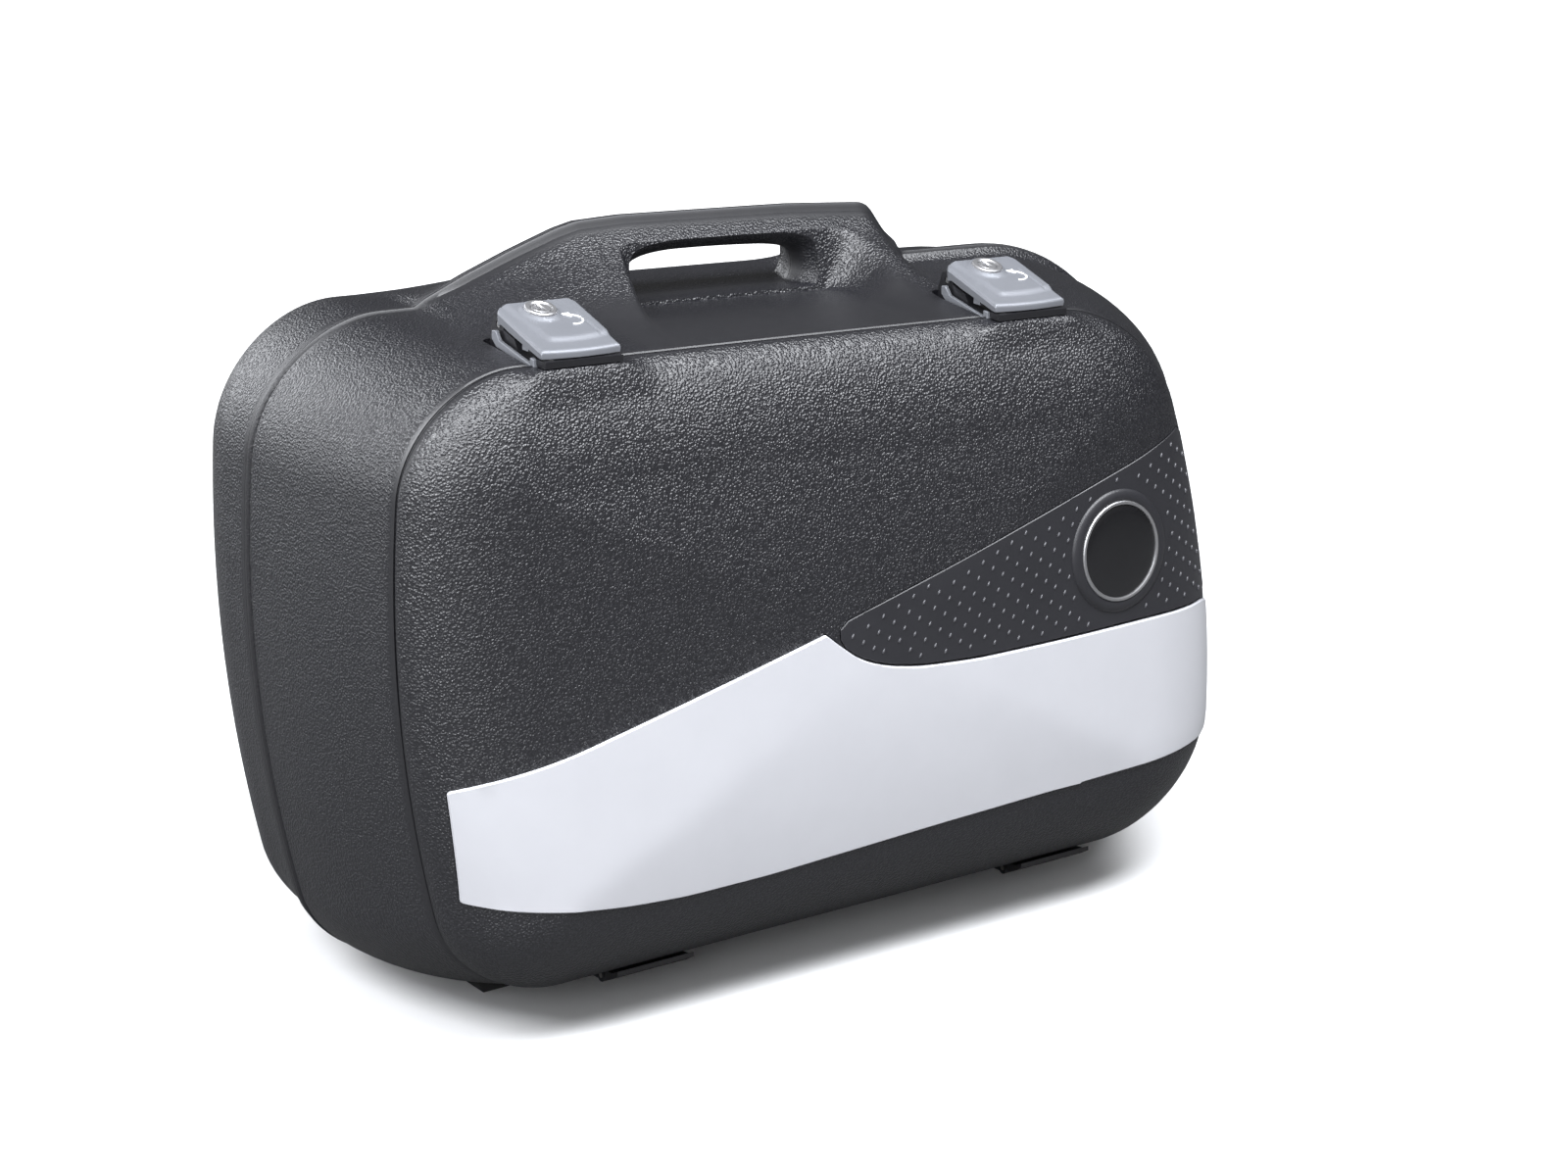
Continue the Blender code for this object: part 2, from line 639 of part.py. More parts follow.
def latch_matrix(side):
    """Places latch coordinates (across, depth, height over the seat) in the case."""
    x, z = LATCHES[side]
    return Matrix.Translation((x * MM, 0, z * MM)) @ Matrix.Rotation(TOP_SLOPE, 4, "Y")


def latch_name(side, part):
    return f"latch_{side}_{part}"


def latch_piece(side, part, bm, surface=None, pivot=(0.0, 0.0)):
    """A piece in latch coordinates, with its origin on a pivot that runs across the latch."""
    shift = Vector((0, *pivot)) * MM
    bmesh.ops.translate(bm, verts=bm.verts, vec=-shift)
    made = add_object(latch_name(side, part), bm, surface)
    made.matrix_world = latch_matrix(side) @ Matrix.Translation(shift)
    return made


def latch_rod(side, part, profile, spot, surface=None, axis=(1, 0, 0), sides=20):
    """A turned piece in latch coordinates. It runs across the latch unless told otherwise."""
    return turned(latch_name(side, part), profile, surface, spot, axis, sides, latch_matrix(side))


def lever_slope():
    """The start of the lever's sloping face, the direction along it, and the one out of it."""
    start, end = (Vector((0, *LEVER_PROFILE[i])) for i in (2, 3))
    along = (end - start).normalized()
    return start, along, Vector((0, along.z, -along.y))


def key_spot():
    """The middle of the key lock on the lever's sloping face, in latch coordinates."""
    start, along, _ = lever_slope()
    spot = start + along * (KEY_Y - start.y) / along.y
    return Vector((KEY_X, spot.y, spot.z)) * MM


def latch_base(side, surfaces):
    half = BASE_HALF_WIDTH
    base = latch_piece(side, "base", across_mesh(BASE_PROFILE, -half, half), surfaces["smooth"])
    channel = across_mesh(BASE_CHANNEL, -CHANNEL_HALF_WIDTH, CHANNEL_HALF_WIDTH)
    boolean(base, latch_piece(side, "channel", channel))
    keeper = across_mesh(KEEPER_PROFILE, *KEEPER_ACROSS)
    boolean(base, latch_piece(side, "keeper", keeper), "UNION")
    pivot = Vector((0, *LEVER_PIVOT)) * MM
    bore = rod_profile(LEVER_PIN_RADIUS + PIN_CLEARANCE, -half * MM - MM, half * MM + MM)
    boolean(base, latch_rod(side, "base_bore", bore, pivot))
    reach = half * MM - GAP
    pin = rod_profile(LEVER_PIN_RADIUS, -reach, reach)
    latch_rod(side, "lever_pin", pin, pivot, surfaces["steel"], sides=14)
    return base


def latch_lever(side, surfaces):
    """The cover that is lifted to open the latch: a hollow shell with a hinge lug and two eyes."""
    half, inside = LEVER_HALF_WIDTH, LEVER_INSIDE_HALF
    body = across_mesh(LEVER_PROFILE, -half, half)
    lever = latch_piece(side, "lever", body, surfaces["lock"], LEVER_PIVOT)
    hollow = across_mesh(LEVER_INSIDE, -inside, inside)
    boolean(lever, latch_piece(side, "lever_hollow", hollow))
    lug = across_mesh(LEVER_LUG, -LUG_HALF_WIDTH, LUG_HALF_WIDTH)
    boolean(lever, latch_piece(side, "lever_lug", lug), "UNION")
    bore = rod_profile(LEVER_PIN_RADIUS + PIN_CLEARANCE, -25 * MM, 16 * MM)
    boolean(lever, latch_rod(side, "lever_bore", bore, Vector((0, *LEVER_PIVOT)) * MM))
    near, far = EYE_ACROSS
    for name, low, high in (("left_eye", -far, -near), ("right_eye", near, far)):
        boolean(lever, latch_piece(side, name, across_mesh(EYE_PROFILE, low, high)), "UNION")
    hook_spot = Vector((0, *HOOK_PIVOT)) * MM
    eye_bore = rod_profile(HOOK_PIN_RADIUS + PIN_CLEARANCE, -18 * MM, 18 * MM)
    boolean(lever, latch_rod(side, "eye_bore", eye_bore, hook_spot))
    hole = rod_profile(KEY_RADIUS + 1.8 * MM, -6 * MM, 6 * MM)
    normal = lever_slope()[2]
    boolean(lever, latch_rod(side, "key_hole", hole, key_spot(), axis=normal))
    return lever


def latch_hook(side, surfaces):
    spot = Vector((0, *HOOK_PIVOT)) * MM
    body = across_mesh(HOOK_PROFILE, -HOOK_HALF_WIDTH, HOOK_HALF_WIDTH)
    hook = latch_piece(side, "hook", body, surfaces["steel"], HOOK_PIVOT)
    bore = rod_profile(HOOK_PIN_RADIUS + PIN_CLEARANCE, -30 * MM, 30 * MM)
    boolean(hook, latch_rod(side, "hook_bore", bore, spot))
    reach = EYE_ACROSS[0] * MM + 3.1 * MM
    pin = rod_profile(HOOK_PIN_RADIUS, -reach, reach)
    latch_rod(side, "hook_pin", pin, spot, surfaces["steel"], sides=12)


def latch_key(side, surfaces):
    """The key lock: a bezel fixed in the lever, and a cylinder that turns a locking tongue."""
    spot, normal = key_spot(), lever_slope()[2]
    bore = KEY_RADIUS + GAP
    bezel = [
        (bore, -2 * MM), (bore + 1.2 * MM, -2 * MM), (bore + 1.2 * MM, GAP), (bore + 2.7 * MM, GAP),
        (bore + 2.3 * MM, 2 * MM), (bore + GAP, 2 * MM), (bore, 1.5 * MM),
    ]
    latch_rod(side, "key_bezel", bezel, spot, surfaces["chrome"], normal, 24)
    core = rod_profile(KEY_RADIUS, KEY_BACK, KEY_FACE)
    core = latch_rod(side, "key_cylinder", core, spot, surfaces["chrome"], normal, 24)
    width, length, depth = KEY_SLOT
    slot = box_mesh((-width / 2, -length / 2, KEY_FACE - depth), (width / 2, length / 2, depth))
    slot = add_object(latch_name(side, "key_slot"), slot)
    slot.matrix_world = core.matrix_world
    boolean(core, slot)
    top = KEY_BACK - GAP
    tongue = box_mesh(
        (-TONGUE_HALF, -TONGUE_HALF, top - TONGUE_THICKNESS), (TONGUE_HALF, TONGUE_REACH, top)
    )
    if core.matrix_world.col[1].y > 0:
        tongue.transform(Matrix.Rotation(math.pi, 4, "Z"))
    piece = add_object(latch_name(side, "lock_tongue"), tongue, surfaces["steel"])
    piece.matrix_world = core.matrix_world


def latch(side, surfaces):
    latch_base(side, surfaces)
    latch_lever(side, surfaces)
    latch_hook(side, surfaces)
    latch_key(side, surfaces)
    catch = across_mesh(CATCH_PROFILE, -CATCH_HALF_WIDTH, CATCH_HALF_WIDTH)
    latch_piece(side, "catch", catch, surfaces["smooth"])


# Hinges, feet, bars and straps --------------------------------------------------------------


def hinge(side, surface):
    """Two leaves and a pin. The lid's leaf has the middle third of the barrel."""
    x = HINGE_X[side]
    name = "hinge_" + side
    reach, third = HINGE_HALF_WIDTH, HINGE_HALF_WIDTH / 3

    def barrel(part, low, high, radius=HINGE_RADIUS):
        spot = Vector((x, LID_SEAM_Y, HINGE_Z))
        return turned(name + part, rod_profile(radius, low, high), None, spot, (1, 0, 0), 18)

    def leaf(part, profile):
        bm = across_mesh(profile, (x - reach) / MM, (x + reach) / MM)
        return add_object(name + part, bm, surface)

    def notch(part, low, high, low_y, high_y):
        return add_object(name + part, box_mesh((x + low, low_y, 10 * MM), (x + high, high_y, 30 * MM)))

    base = leaf("_base_leaf", HINGE_BASE_PROFILE)
    boolean(base, barrel("_left_barrel", -reach, -third - HINGE_GAP), "UNION")
    boolean(base, barrel("_right_barrel", third + HINGE_GAP, reach), "UNION")
    room = third + HINGE_GAP
    clear_y = LID_SEAM_Y + HINGE_RADIUS + MM
    boolean(base, notch("_base_notch", -room, room, -75 * MM, clear_y))
    bore = HINGE_PIN_RADIUS + HINGE_GAP
    boolean(base, barrel("_base_bore", -reach - MM, reach + MM, bore))

    lid = leaf("_lid_leaf", HINGE_LID_PROFILE)
    knuckle = third - HINGE_GAP
    boolean(lid, barrel("_middle_barrel", -knuckle, knuckle), "UNION")
    clear_y = LID_SEAM_Y - HINGE_RADIUS - MM
    boolean(lid, notch("_left_notch", -reach - MM, -knuckle, clear_y, -60 * MM))
    boolean(lid, notch("_right_notch", knuckle, reach + MM, clear_y, -60 * MM))
    boolean(lid, barrel("_lid_bore", -reach - MM, reach + MM, bore))
    pin = barrel("_pin", -reach, reach, HINGE_PIN_RADIUS)
    pin.data.materials.append(surface)


def bottom_z(y):
    """Height of the underside of the case at a depth."""
    shape = BACK_SEAM if y >= BACK_SEAM_Y else centre_outline(y)
    return shape["corners"][0][1] * MM


def foot(name, x, y, surface):
    """A block with sloping ends, whose top follows the underside of the case."""
    loops = []
    for depth in (-FOOT_HALF_DEPTH, FOOT_HALF_DEPTH):
        top = bottom_z(y + depth) - GAP
        narrow = FOOT_HALF_WIDTH - FOOT_CHAMFER
        profile = [(-FOOT_HALF_WIDTH, top), (-narrow, 0), (narrow, 0), (FOOT_HALF_WIDTH, top)]
        loops.append([Vector((u, depth, z)) for u, z in profile])
    made = add_object("foot_" + name, loft_mesh(loops), surface)
    made.location = (x, y, 0)


def mounting_bar(side, surfaces):
    """An angle bar on the floor of the recess, and the rivets that hold it."""
    upper, lower = (Vector((x, 0, z)) * MM for x, z in BARS[side])
    length = (upper - lower).length
    lean = math.atan2(lower.x - upper.x, upper.z - lower.z)
    floor_y = BACK_Y - RECESS_DEPTH + GAP
    edge = BAR_WIDTH / 2 if side == "left" else -BAR_WIDTH / 2
    inner = edge - math.copysign(BAR_THICKNESS, edge)
    profile = [
        (-edge, 0), (edge, 0), (edge, BAR_LIP), (inner, BAR_LIP), (inner, BAR_THICKNESS),
        (-edge, BAR_THICKNESS),
    ]
    bm = loft_mesh([[Vector((u, v, w)) for u, v in profile] for w in (-length / 2, length / 2)])
    bar = add_object("mounting_bar_" + side, bm, surfaces["bar"])
    centre = (upper + lower) / 2
    bar.location = (centre.x, floor_y, centre.z)
    bar.rotation_euler = (0, -lean, 0)
    low = BAR_THICKNESS + GAP
    high = low + RIVET_HEAD_HEIGHT
    rivet = [
        (0, 0), (RIVET_RADIUS, 0), (RIVET_RADIUS, low), (RIVET_HEAD_RADIUS, low),
        (0.75 * RIVET_HEAD_RADIUS, high), (0, high),
    ]
    for index, share in enumerate(RIVET_PLACES, start=1):
        spot = upper.lerp(lower, share)
        spot.y = floor_y
        name = f"bar_rivet_{side}_{index}"
        hole = rod_profile(RIVET_RADIUS + 0.2 * MM, -2 * MM, 5 * MM)
        boolean(bar, turned(name + "_hole", hole, None, spot, (0, 1, 0), 12))
        turned(name, rivet, surfaces["steel"], spot, (0, 1, 0), 12)


def luggage_strap(side, surfaces):
    """A flat webbing strap that lies on the inside of the back, with its buckle."""
    x = STRAP_X[side]
    wall_y = BACK_Y - WELL_DEPTH - WALL
    high_y = wall_y - 2 * GAP
    low_y = high_y - STRAP_THICKNESS
    half = STRAP_HALF_WIDTH
    strap = box_mesh((x - half, low_y, STRAP_Z[0]), (x + half, high_y, STRAP_Z[1]))
    add_object("luggage_strap_" + side, strap, surfaces["webbing"])
    high_y = low_y - GAP
    half = BUCKLE_HALF_WIDTH
    buckle = box_mesh(
        (x - half, high_y - BUCKLE_THICKNESS, BUCKLE_Z[0]), (x + half, high_y, BUCKLE_Z[1])
    )
    add_object("strap_buckle_" + side, buckle, surfaces["smooth"])


# Bodies -------------------------------------------------------------------------------------


def attach(pieces, carrier):
    """Parents pieces, with the tools in their modifiers, to a carrier without moving them."""
    inverse = carrier.matrix_world.inverted()
    for piece in pieces:
        for item in [piece] + [step.object for step in piece.modifiers]:
            item.parent = carrier
            item.matrix_parent_inverse = inverse


def carrier(name, location):
    """An empty that carries a body. It stands on the axis about which the body turns."""
    made = bpy.data.objects.new(name, None)
    bpy.context.scene.collection.objects.link(made)
    made.location = location
    return made


def assemble():
    """Puts each moving body on its carrier, all carriers on the case, and centres the case."""
    case = carrier("case", (0, 0, 0))
    lid_axis = carrier("lid_axis", (0, LID_SEAM_Y, HINGE_Z))
    lid_names = ["lid_shell", "lid_seal", "silver_trim", "studded_panel", "badge_ring", "badge_disc"]
    lid_names += [f"hinge_{side}_lid_leaf" for side in HINGE_X]
    lid_names += [latch_name(side, "catch") for side in LATCHES]
    bodies = {lid_axis: lid_names}
    nested = []
    for side in LATCHES:
        place = latch_matrix(side)
        spots = {
            "lever": Vector((0, *LEVER_PIVOT)) * MM,
            "hook": Vector((0, *HOOK_PIVOT)) * MM,
            "key": key_spot(),
        }
        axes = {part: carrier(latch_name(side, part + "_axis"), place @ spot) for part, spot in spots.items()}
        bodies[axes["lever"]] = [latch_name(side, part) for part in ("lever", "key_bezel", "hook_pin")]
        bodies[axes["hook"]] = [latch_name(side, "hook")]
        bodies[axes["key"]] = [latch_name(side, part) for part in ("key_cylinder", "lock_tongue")]
        nested += [(axes["hook"], axes["lever"]), (axes["key"], axes["lever"])]
    bpy.context.view_layer.update()
    for axis, names in bodies.items():
        attach([bpy.data.objects[name] for name in names], axis)
    for axis, parent in nested:
        attach([axis], parent)
    attach([item for item in bpy.data.objects if not item.parent and item != case], case)
    case.location = CENTRING


def build():
    clear_scene()
    surfaces = {
        "grained": material("grained_black_plastic", (0.045, 0.045, 0.05), 0.5),
        "smooth": material("smooth_black_plastic", (0.03, 0.03, 0.033), 0.38),
        "silver": material("satin_silver_panel", (0.8, 0.81, 0.84), 0.35, 0.3),
        "lock": material("grey_lock_metal", (0.42, 0.43, 0.46), 0.36, 0.7),
        "chrome": material("bright_metal", (0.86, 0.86, 0.88), 0.16, 1.0),
        "steel": material("zinc_steel", (0.62, 0.63, 0.66), 0.3, 0.9),
        "gloss": material("gloss_black", (0.01, 0.01, 0.012), 0.12),
        "bar": material("black_painted_steel", (0.02, 0.02, 0.022), 0.42, 0.2),
        "rubber": material("black_rubber", (0.02, 0.02, 0.02), 0.8),
        "webbing": material("black_webbing", (0.03, 0.03, 0.035), 0.9),
    }
    face = BVHTree.FromBMesh(loft_mesh(lid_rings()))
    back_shell(surfaces["grained"])
    centre_shell(surfaces["grained"])
    lid_shell(surfaces["grained"], face)
    lid_trim(face, surfaces)
    lid_seal(surfaces["rubber"])
    for side in ("left", "right"):
        latch(side, surfaces)
        hinge(side, surfaces["steel"])
        mounting_bar(side, surfaces)
        luggage_strap(side, surfaces)
    for name, (x, y) in FEET.items():
        foot(name, x * MM, y * MM, surfaces["rubber"])
    assemble()


build()
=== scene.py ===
"""Looks of the hard motorcycle side case: fine shells, trim, locks, materials, light and camera.

Case coordinates: +X to the right when facing the lid, -Y out through the lid, +Z up, with the
depths and outlines that the CAD shells have. ORIGIN moves them into the frame.
"""

import math

import bmesh
import bpy
import numpy as np
from mathutils import Matrix, Vector
from mathutils.bvhtree import BVHTree


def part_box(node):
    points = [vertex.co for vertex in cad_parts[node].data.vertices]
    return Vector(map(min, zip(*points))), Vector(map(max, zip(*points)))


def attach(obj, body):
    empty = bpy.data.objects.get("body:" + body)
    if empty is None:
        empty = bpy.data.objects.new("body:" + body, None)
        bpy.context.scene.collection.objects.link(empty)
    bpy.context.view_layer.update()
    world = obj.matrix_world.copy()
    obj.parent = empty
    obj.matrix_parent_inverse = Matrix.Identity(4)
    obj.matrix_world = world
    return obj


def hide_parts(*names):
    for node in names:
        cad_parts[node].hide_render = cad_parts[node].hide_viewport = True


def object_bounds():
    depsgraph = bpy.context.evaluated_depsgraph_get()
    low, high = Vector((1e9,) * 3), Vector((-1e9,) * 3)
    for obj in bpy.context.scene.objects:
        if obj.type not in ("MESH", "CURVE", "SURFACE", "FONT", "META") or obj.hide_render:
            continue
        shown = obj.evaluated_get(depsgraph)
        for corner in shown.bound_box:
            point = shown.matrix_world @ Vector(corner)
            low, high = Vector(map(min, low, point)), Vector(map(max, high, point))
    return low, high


MM = 0.001

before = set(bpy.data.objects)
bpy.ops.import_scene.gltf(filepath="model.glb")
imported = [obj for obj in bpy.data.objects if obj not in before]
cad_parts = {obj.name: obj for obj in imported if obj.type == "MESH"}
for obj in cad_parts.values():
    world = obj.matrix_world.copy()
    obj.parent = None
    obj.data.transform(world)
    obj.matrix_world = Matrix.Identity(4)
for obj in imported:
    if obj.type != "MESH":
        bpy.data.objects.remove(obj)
CAD_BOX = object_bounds()

# Depths of the planes that divide the case, in mm. The frame places the first of them.
BACK_Y = 121.7
BACK_BELT_Y = 71.5
BACK_SEAM_Y = 51.4
LID_SEAM_Y = -66.2
FOOT_X = -168.0
FOOT_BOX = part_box("foot_rear_left")
ORIGIN = Vector(
    (
        (FOOT_BOX[0].x + FOOT_BOX[1].x) / 2 - FOOT_X * MM,
        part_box("back_shell")[1].y - BACK_Y * MM,
        0.0,
    )
)

# Outlines across the case, in mm: corners (x, z) and radii run from the bottom left,
# counter-clockwise. The bows push the left, right and top sides out at their middles.
BACK_SEAM = {
    "corners": [(-241, 10), (248, 10), (227, 316), (-256, 344)],
    "radii": [46, 50, 74, 58],
    "bows": (21, 31, 2),
}
BACK_BELT = {
    "corners": [(-239, 10), (246, 10), (223, 313), (-258, 345)],
    "radii": [58, 58, 76, 60],
    "bows": (21, 31, 2),
}
BACK_RIM = {
    "corners": [(-216, 10), (220, 10), (198, 304), (-229, 330)],
    "radii": [50, 50, 54, 48],
    "bows": (5, 15, 1),
}
LID_SEAM = {
    "corners": [(-222, 26.5), (208.5, 26.5), (178, 313), (-238, 338)],
    "radii": [50, 59, 63, 52],
    "bows": (21, 31, 2),
}
BOW_CENTRE_Z = 174
BOW_HALF_HEIGHT = 165
BOW_HALF_WIDTH = 272
BOW_SIDE_X = 200
BOW_TOP_SHARE = 0.7
ARC_STEPS = 22
SIDE_STEPS = (70, 44, 170, 44)

WALL = 4.0
CENTRE_WALL = 7.0
LID_WALL = 3.5
SEAM_GAP = 1.8
GAP = 0.3
TONGUE_INSET = 7.5
TONGUE_WALL = 3.0
TONGUE_LENGTH = 5.0

LID_ROUND = 65
LID_DEPTH = 48.6
LID_TILT = 23.7
LID_CROWN = 7.6
LID_BEND = 80
LID_TOP_Z = 338

# Handle: its ridge (x, z), the finger opening, and the depth of the bar on each side.
HANDLE_LINE = [
    (-190, 336), (-178, 337), (-167, 343.4), (-143, 352.7), (-118, 361), (-92, 368.6), (-80, 370.9),
    (-53, 370.6), (47, 363.3), (92, 358.2), (97, 355.6), (116, 327), (120, 310),
]
HANDLE_OPENING = [
    (-56, 329.4), (-51, 329.1), (41, 323.3), (46, 323), (49, 333), (45, 342.8), (3, 347.4), (-42, 350),
    (-57, 342),
]
BAR_DEPTH = 16.0
FLANGE = 4.2
RIM_STEP = 2.2
FLARE_END = 86.0
REAR_FLARE_END = 62.0
END_LEAN = 12.0
LEFT_WALL = ([0, 16, 60, 117], [-56, -60, -76, -96])
RIGHT_WALL = ([0, 6, 11, 16, 21, 28, 40, 60, 117], [49, 51, 54, 59, 64, 69, 71, 65, 58])
LIP_HEIGHT = 4.6

# Trim panels set into the lid, as (x, z) outlines seen from the front.
TRIM_BOTTOM = [
    (-233.2, 90.5), (-233, 87), (-229.8, 86.2), (-214, 82.5), (-187, 78), (-155, 73.5), (-123, 71), (-73, 71), (26, 75), (216, 81),
]
TRIM_TOP = [
    (221, 153), (170, 156), (109, 157), (51, 158.5), (15, 161.5), (-6, 166), (-20, 172), (-30, 180),
    (-37.4, 186.6), (-39, 188), (-41.4, 187.4), (-87, 176.5), (-135, 165), (-181, 154),
    (-224, 147.5), (-235, 144.9), (-238, 144), (-237.8, 141),
]
PANEL_TOP = [(204, 249), (179, 244), (134, 233), (83, 220), (37, 208), (-30, 191.2)]
PANEL_GAP = 1.2
POCKET_SINK = 1.8
BADGE_CENTRE = (146.0, 195.5)
BADGE_RADIUS = 25.5

LOCKS = {"left": (-151, 330.8), "right": (109, 315.4)}
TOP_SLOPE = math.radians(3.3)


# Outlines -----------------------------------------------------------------------------------


def smoothstep(low, high, value):
    t = np.clip((np.asarray(value, float) - low) / (high - low), 0, 1)
    return t * t * (3 - 2 * t)


def mixed(first, second, t):
    """The outline a fraction t of the way from the first outline to the second."""
    made = {}
    for key in ("corners", "radii", "bows"):
        a, b = np.array(first[key], float), np.array(second[key], float)
        made[key] = a + (b - a) * t
    return made


def outline(shape, inset=0.0):
    """Points (x, z) of a rounded four-sided outline, counter-clockwise from the bottom left."""
    corners = np.array(shape["corners"], float)
    arcs = []
    for i in range(4):
        before = corners[i] - corners[i - 1]
        after = corners[(i + 1) % 4] - corners[i]
        before /= np.linalg.norm(before)
        after /= np.linalg.norm(after)
        turn = math.atan2(before[0] * after[1] - before[1] * after[0], before @ after)
        radius = max(shape["radii"][i], inset + 3)
        outward = np.array((before[1], -before[0]))
        centre = corners[i] - before * math.tan(turn / 2) * radius - outward * radius
        start = math.atan2(outward[1], outward[0])
        angles = start + turn * np.linspace(0, 1, ARC_STEPS + 1)
        arcs.append(centre + np.column_stack((np.cos(angles), np.sin(angles))) * (radius - inset))
    points = []
    for i, arc in enumerate(arcs):
        points.append(arc)
        t = np.linspace(0, 1, SIDE_STEPS[i] + 1)[1:-1, None]
        points.append(arc[-1] + (arcs[(i + 1) % 4][0] - arc[-1]) * t)
    return bowed(np.vstack(points), shape["bows"])


def bowed(points, bows):
    height = (points[:, 1] - BOW_CENTRE_Z) / BOW_HALF_HEIGHT
    side = np.clip(points[:, 0] / BOW_SIDE_X, -1, 1)
    bow = np.where(side < 0, bows[0], bows[1])
    x = points[:, 0] + bow * side * np.maximum(0, 1 - height**2)
    upper = np.clip(height / BOW_TOP_SHARE, 0, 1)
    z = points[:, 1] + bows[2] * upper * (1 - (points[:, 0] / BOW_HALF_WIDTH) ** 2)
    return np.column_stack((x, z))


def at_depth(points, y):
    """Puts (x, z) points at a depth, or at a depth each."""
    return np.column_stack((points[:, 0], np.broadcast_to(y, len(points)), points[:, 1]))


# Handle -------------------------------------------------------------------------------------


def ridge_height(x):
    """The height of the handle's ridge over x, with its corners slightly rounded."""
    line_x, line_z = np.array(HANDLE_LINE, float).T
    total = np.zeros_like(x)
    offsets = (-1.6, -0.8, 0, 0.8, 1.6)
    for offset in offsets:
        total += np.interp(x + offset, line_x, line_z, left=0, right=0)
    return total / len(offsets)


def opening_floor(x):
    return 329.4 + (x + 56) / 102 * -6.4


def raised(points, y, flare_end, inset=0.0):
    """Lifts the top of a shell's outline into the handle and the lip to its right."""
    depth = abs(BACK_SEAM_Y - y)
    x, z = points[:, 0], points[:, 1].copy()
    top = z > 290
    lean = END_LEAN * min(1.0, depth / 40) * np.clip(x / 120, 0, 1) ** 2
    rise = np.where(top, np.maximum(0, ridge_height(x + lean) - inset - z), 0)
    share = np.clip((depth - FLANGE) / (flare_end - FLANGE), 0, 1)
    fall = (1 - share) ** 1.8
    left = np.interp(depth, *LEFT_WALL)
    right = np.interp(depth, *RIGHT_WALL)
    outside = 1 - smoothstep(left - 4, left + 5, x) * (1 - smoothstep(right - 9, right + 12, x))
    legs = 1 + (outside - 1) * smoothstep(BAR_DEPTH, BAR_DEPTH + 4.5, depth)
    floor = np.where(top, np.minimum(0, opening_floor(x) - z), 0)
    inside = (1 - legs) * (x > left - 6) * (x < right + 10)
    z = z + rise * fall * legs + floor * inside
    step = RIM_STEP * smoothstep(FLANGE, FLANGE + 0.4, depth) * (1 - smoothstep(12, 42, depth))
    z = z - step * smoothstep(2, 14, rise)
    normal = np.roll(points, -1, axis=0) - np.roll(points, 1, axis=0)
    normal = np.column_stack((normal[:, 1], -normal[:, 0]))
    normal /= np.linalg.norm(normal, axis=1)[:, None]
    lip = LIP_HEIGHT * (1 - smoothstep(FLANGE + 1, FLANGE + 5, depth))
    lip = lip * smoothstep(245, 292, points[:, 1]) * smoothstep(104, 116, x)
    return np.column_stack((x + normal[:, 0] * lip, np.maximum(z, z + normal[:, 1] * lip)))


def opening_cutter():
    """The finger opening through both halves of the handle, flared towards each face."""
    rings = []
    for depth in (-21.5, -18.5, -16, -11, -6, -2, 2, 6, 11, 16, 18.5, 21.5):
        far = abs(depth)
        up = float(np.interp(far, [0, 6, 11, 16, 21.5], [0, 1.5, 4, 8, 19]))
        points = []
        for x, z in HANDLE_OPENING:
            if z < 331:
                z += 0.15
            elif z > 340:
                z += up
            if x > 40:
                x += np.interp(far, [0, 16], [0, 6])
            if x < -40:
                x -= np.interp(far, [0, 16, 21.5], [0, 3.5, 2])
            points.append((x, z))
        points = np.array(points)
        for _ in range(3):
            following = np.roll(points, -1, axis=0)
            pair = (0.75 * points + 0.25 * following, 0.25 * points + 0.75 * following)
            points = np.stack(pair, axis=1).reshape(-1, 2)
        rings.append(at_depth(points, BACK_SEAM_Y - depth))
    return loft(rings)


# Meshes -------------------------------------------------------------------------------------


def loft(rings, closed=False, cap=True):
    """Faces through rings of points in mm. The ends are capped, or joined when closed."""
    bm = bmesh.new()
    loops = [[bm.verts.new(Vector(p) * MM) for p in points] for points in rings]
    pairs = list(zip(loops, loops[1:])) + ([(loops[-1], loops[0])] if closed else [])
    for low, high in pairs:
        for i in range(len(low)):
            j = (i + 1) % len(low)
            bm.faces.new((low[i], low[j], high[j], high[i]))
    if cap and not closed:
        bm.faces.new(loops[0])
        bm.faces.new(loops[-1])
    bmesh.ops.recalc_face_normals(bm, faces=bm.faces[:])
    return bm


def add_mesh(name, bm, place=None, angle=34.0):
    """Turns a bmesh in case coordinates into an object in the frame, with smooth shading."""
    if place is not None:
        bmesh.ops.transform(bm, matrix=place, verts=bm.verts)
    bmesh.ops.translate(bm, vec=ORIGIN, verts=bm.verts)
    mesh = bpy.data.meshes.new(name)
    bm.to_mesh(mesh)
    bm.free()
    mesh.shade_smooth()
    mesh.set_sharp_from_angle(angle=math.radians(angle))
    made = bpy.data.objects.new(name, mesh)
    bpy.context.scene.collection.objects.link(made)
    return made


def finish_piece(obj, body, material, replaced=()):
    obj.data.materials.clear()
    obj.data.materials.append(material)
    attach(obj, body)
    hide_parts(*replaced)
    return obj


def cut(target, cutter, operation="DIFFERENCE"):
    """Applies a Boolean and removes the cutter."""
    step = target.modifiers.new("cut", "BOOLEAN")
    step.operation = operation
    step.solver = "EXACT"
    step.object = cutter
    graph = bpy.context.evaluated_depsgraph_get()
    mesh = bpy.data.meshes.new_from_object(target.evaluated_get(graph))
    target.modifiers.clear()
    old = target.data
    target.data = mesh
    bpy.data.meshes.remove(old)
    bpy.data.objects.remove(cutter, do_unlink=True)


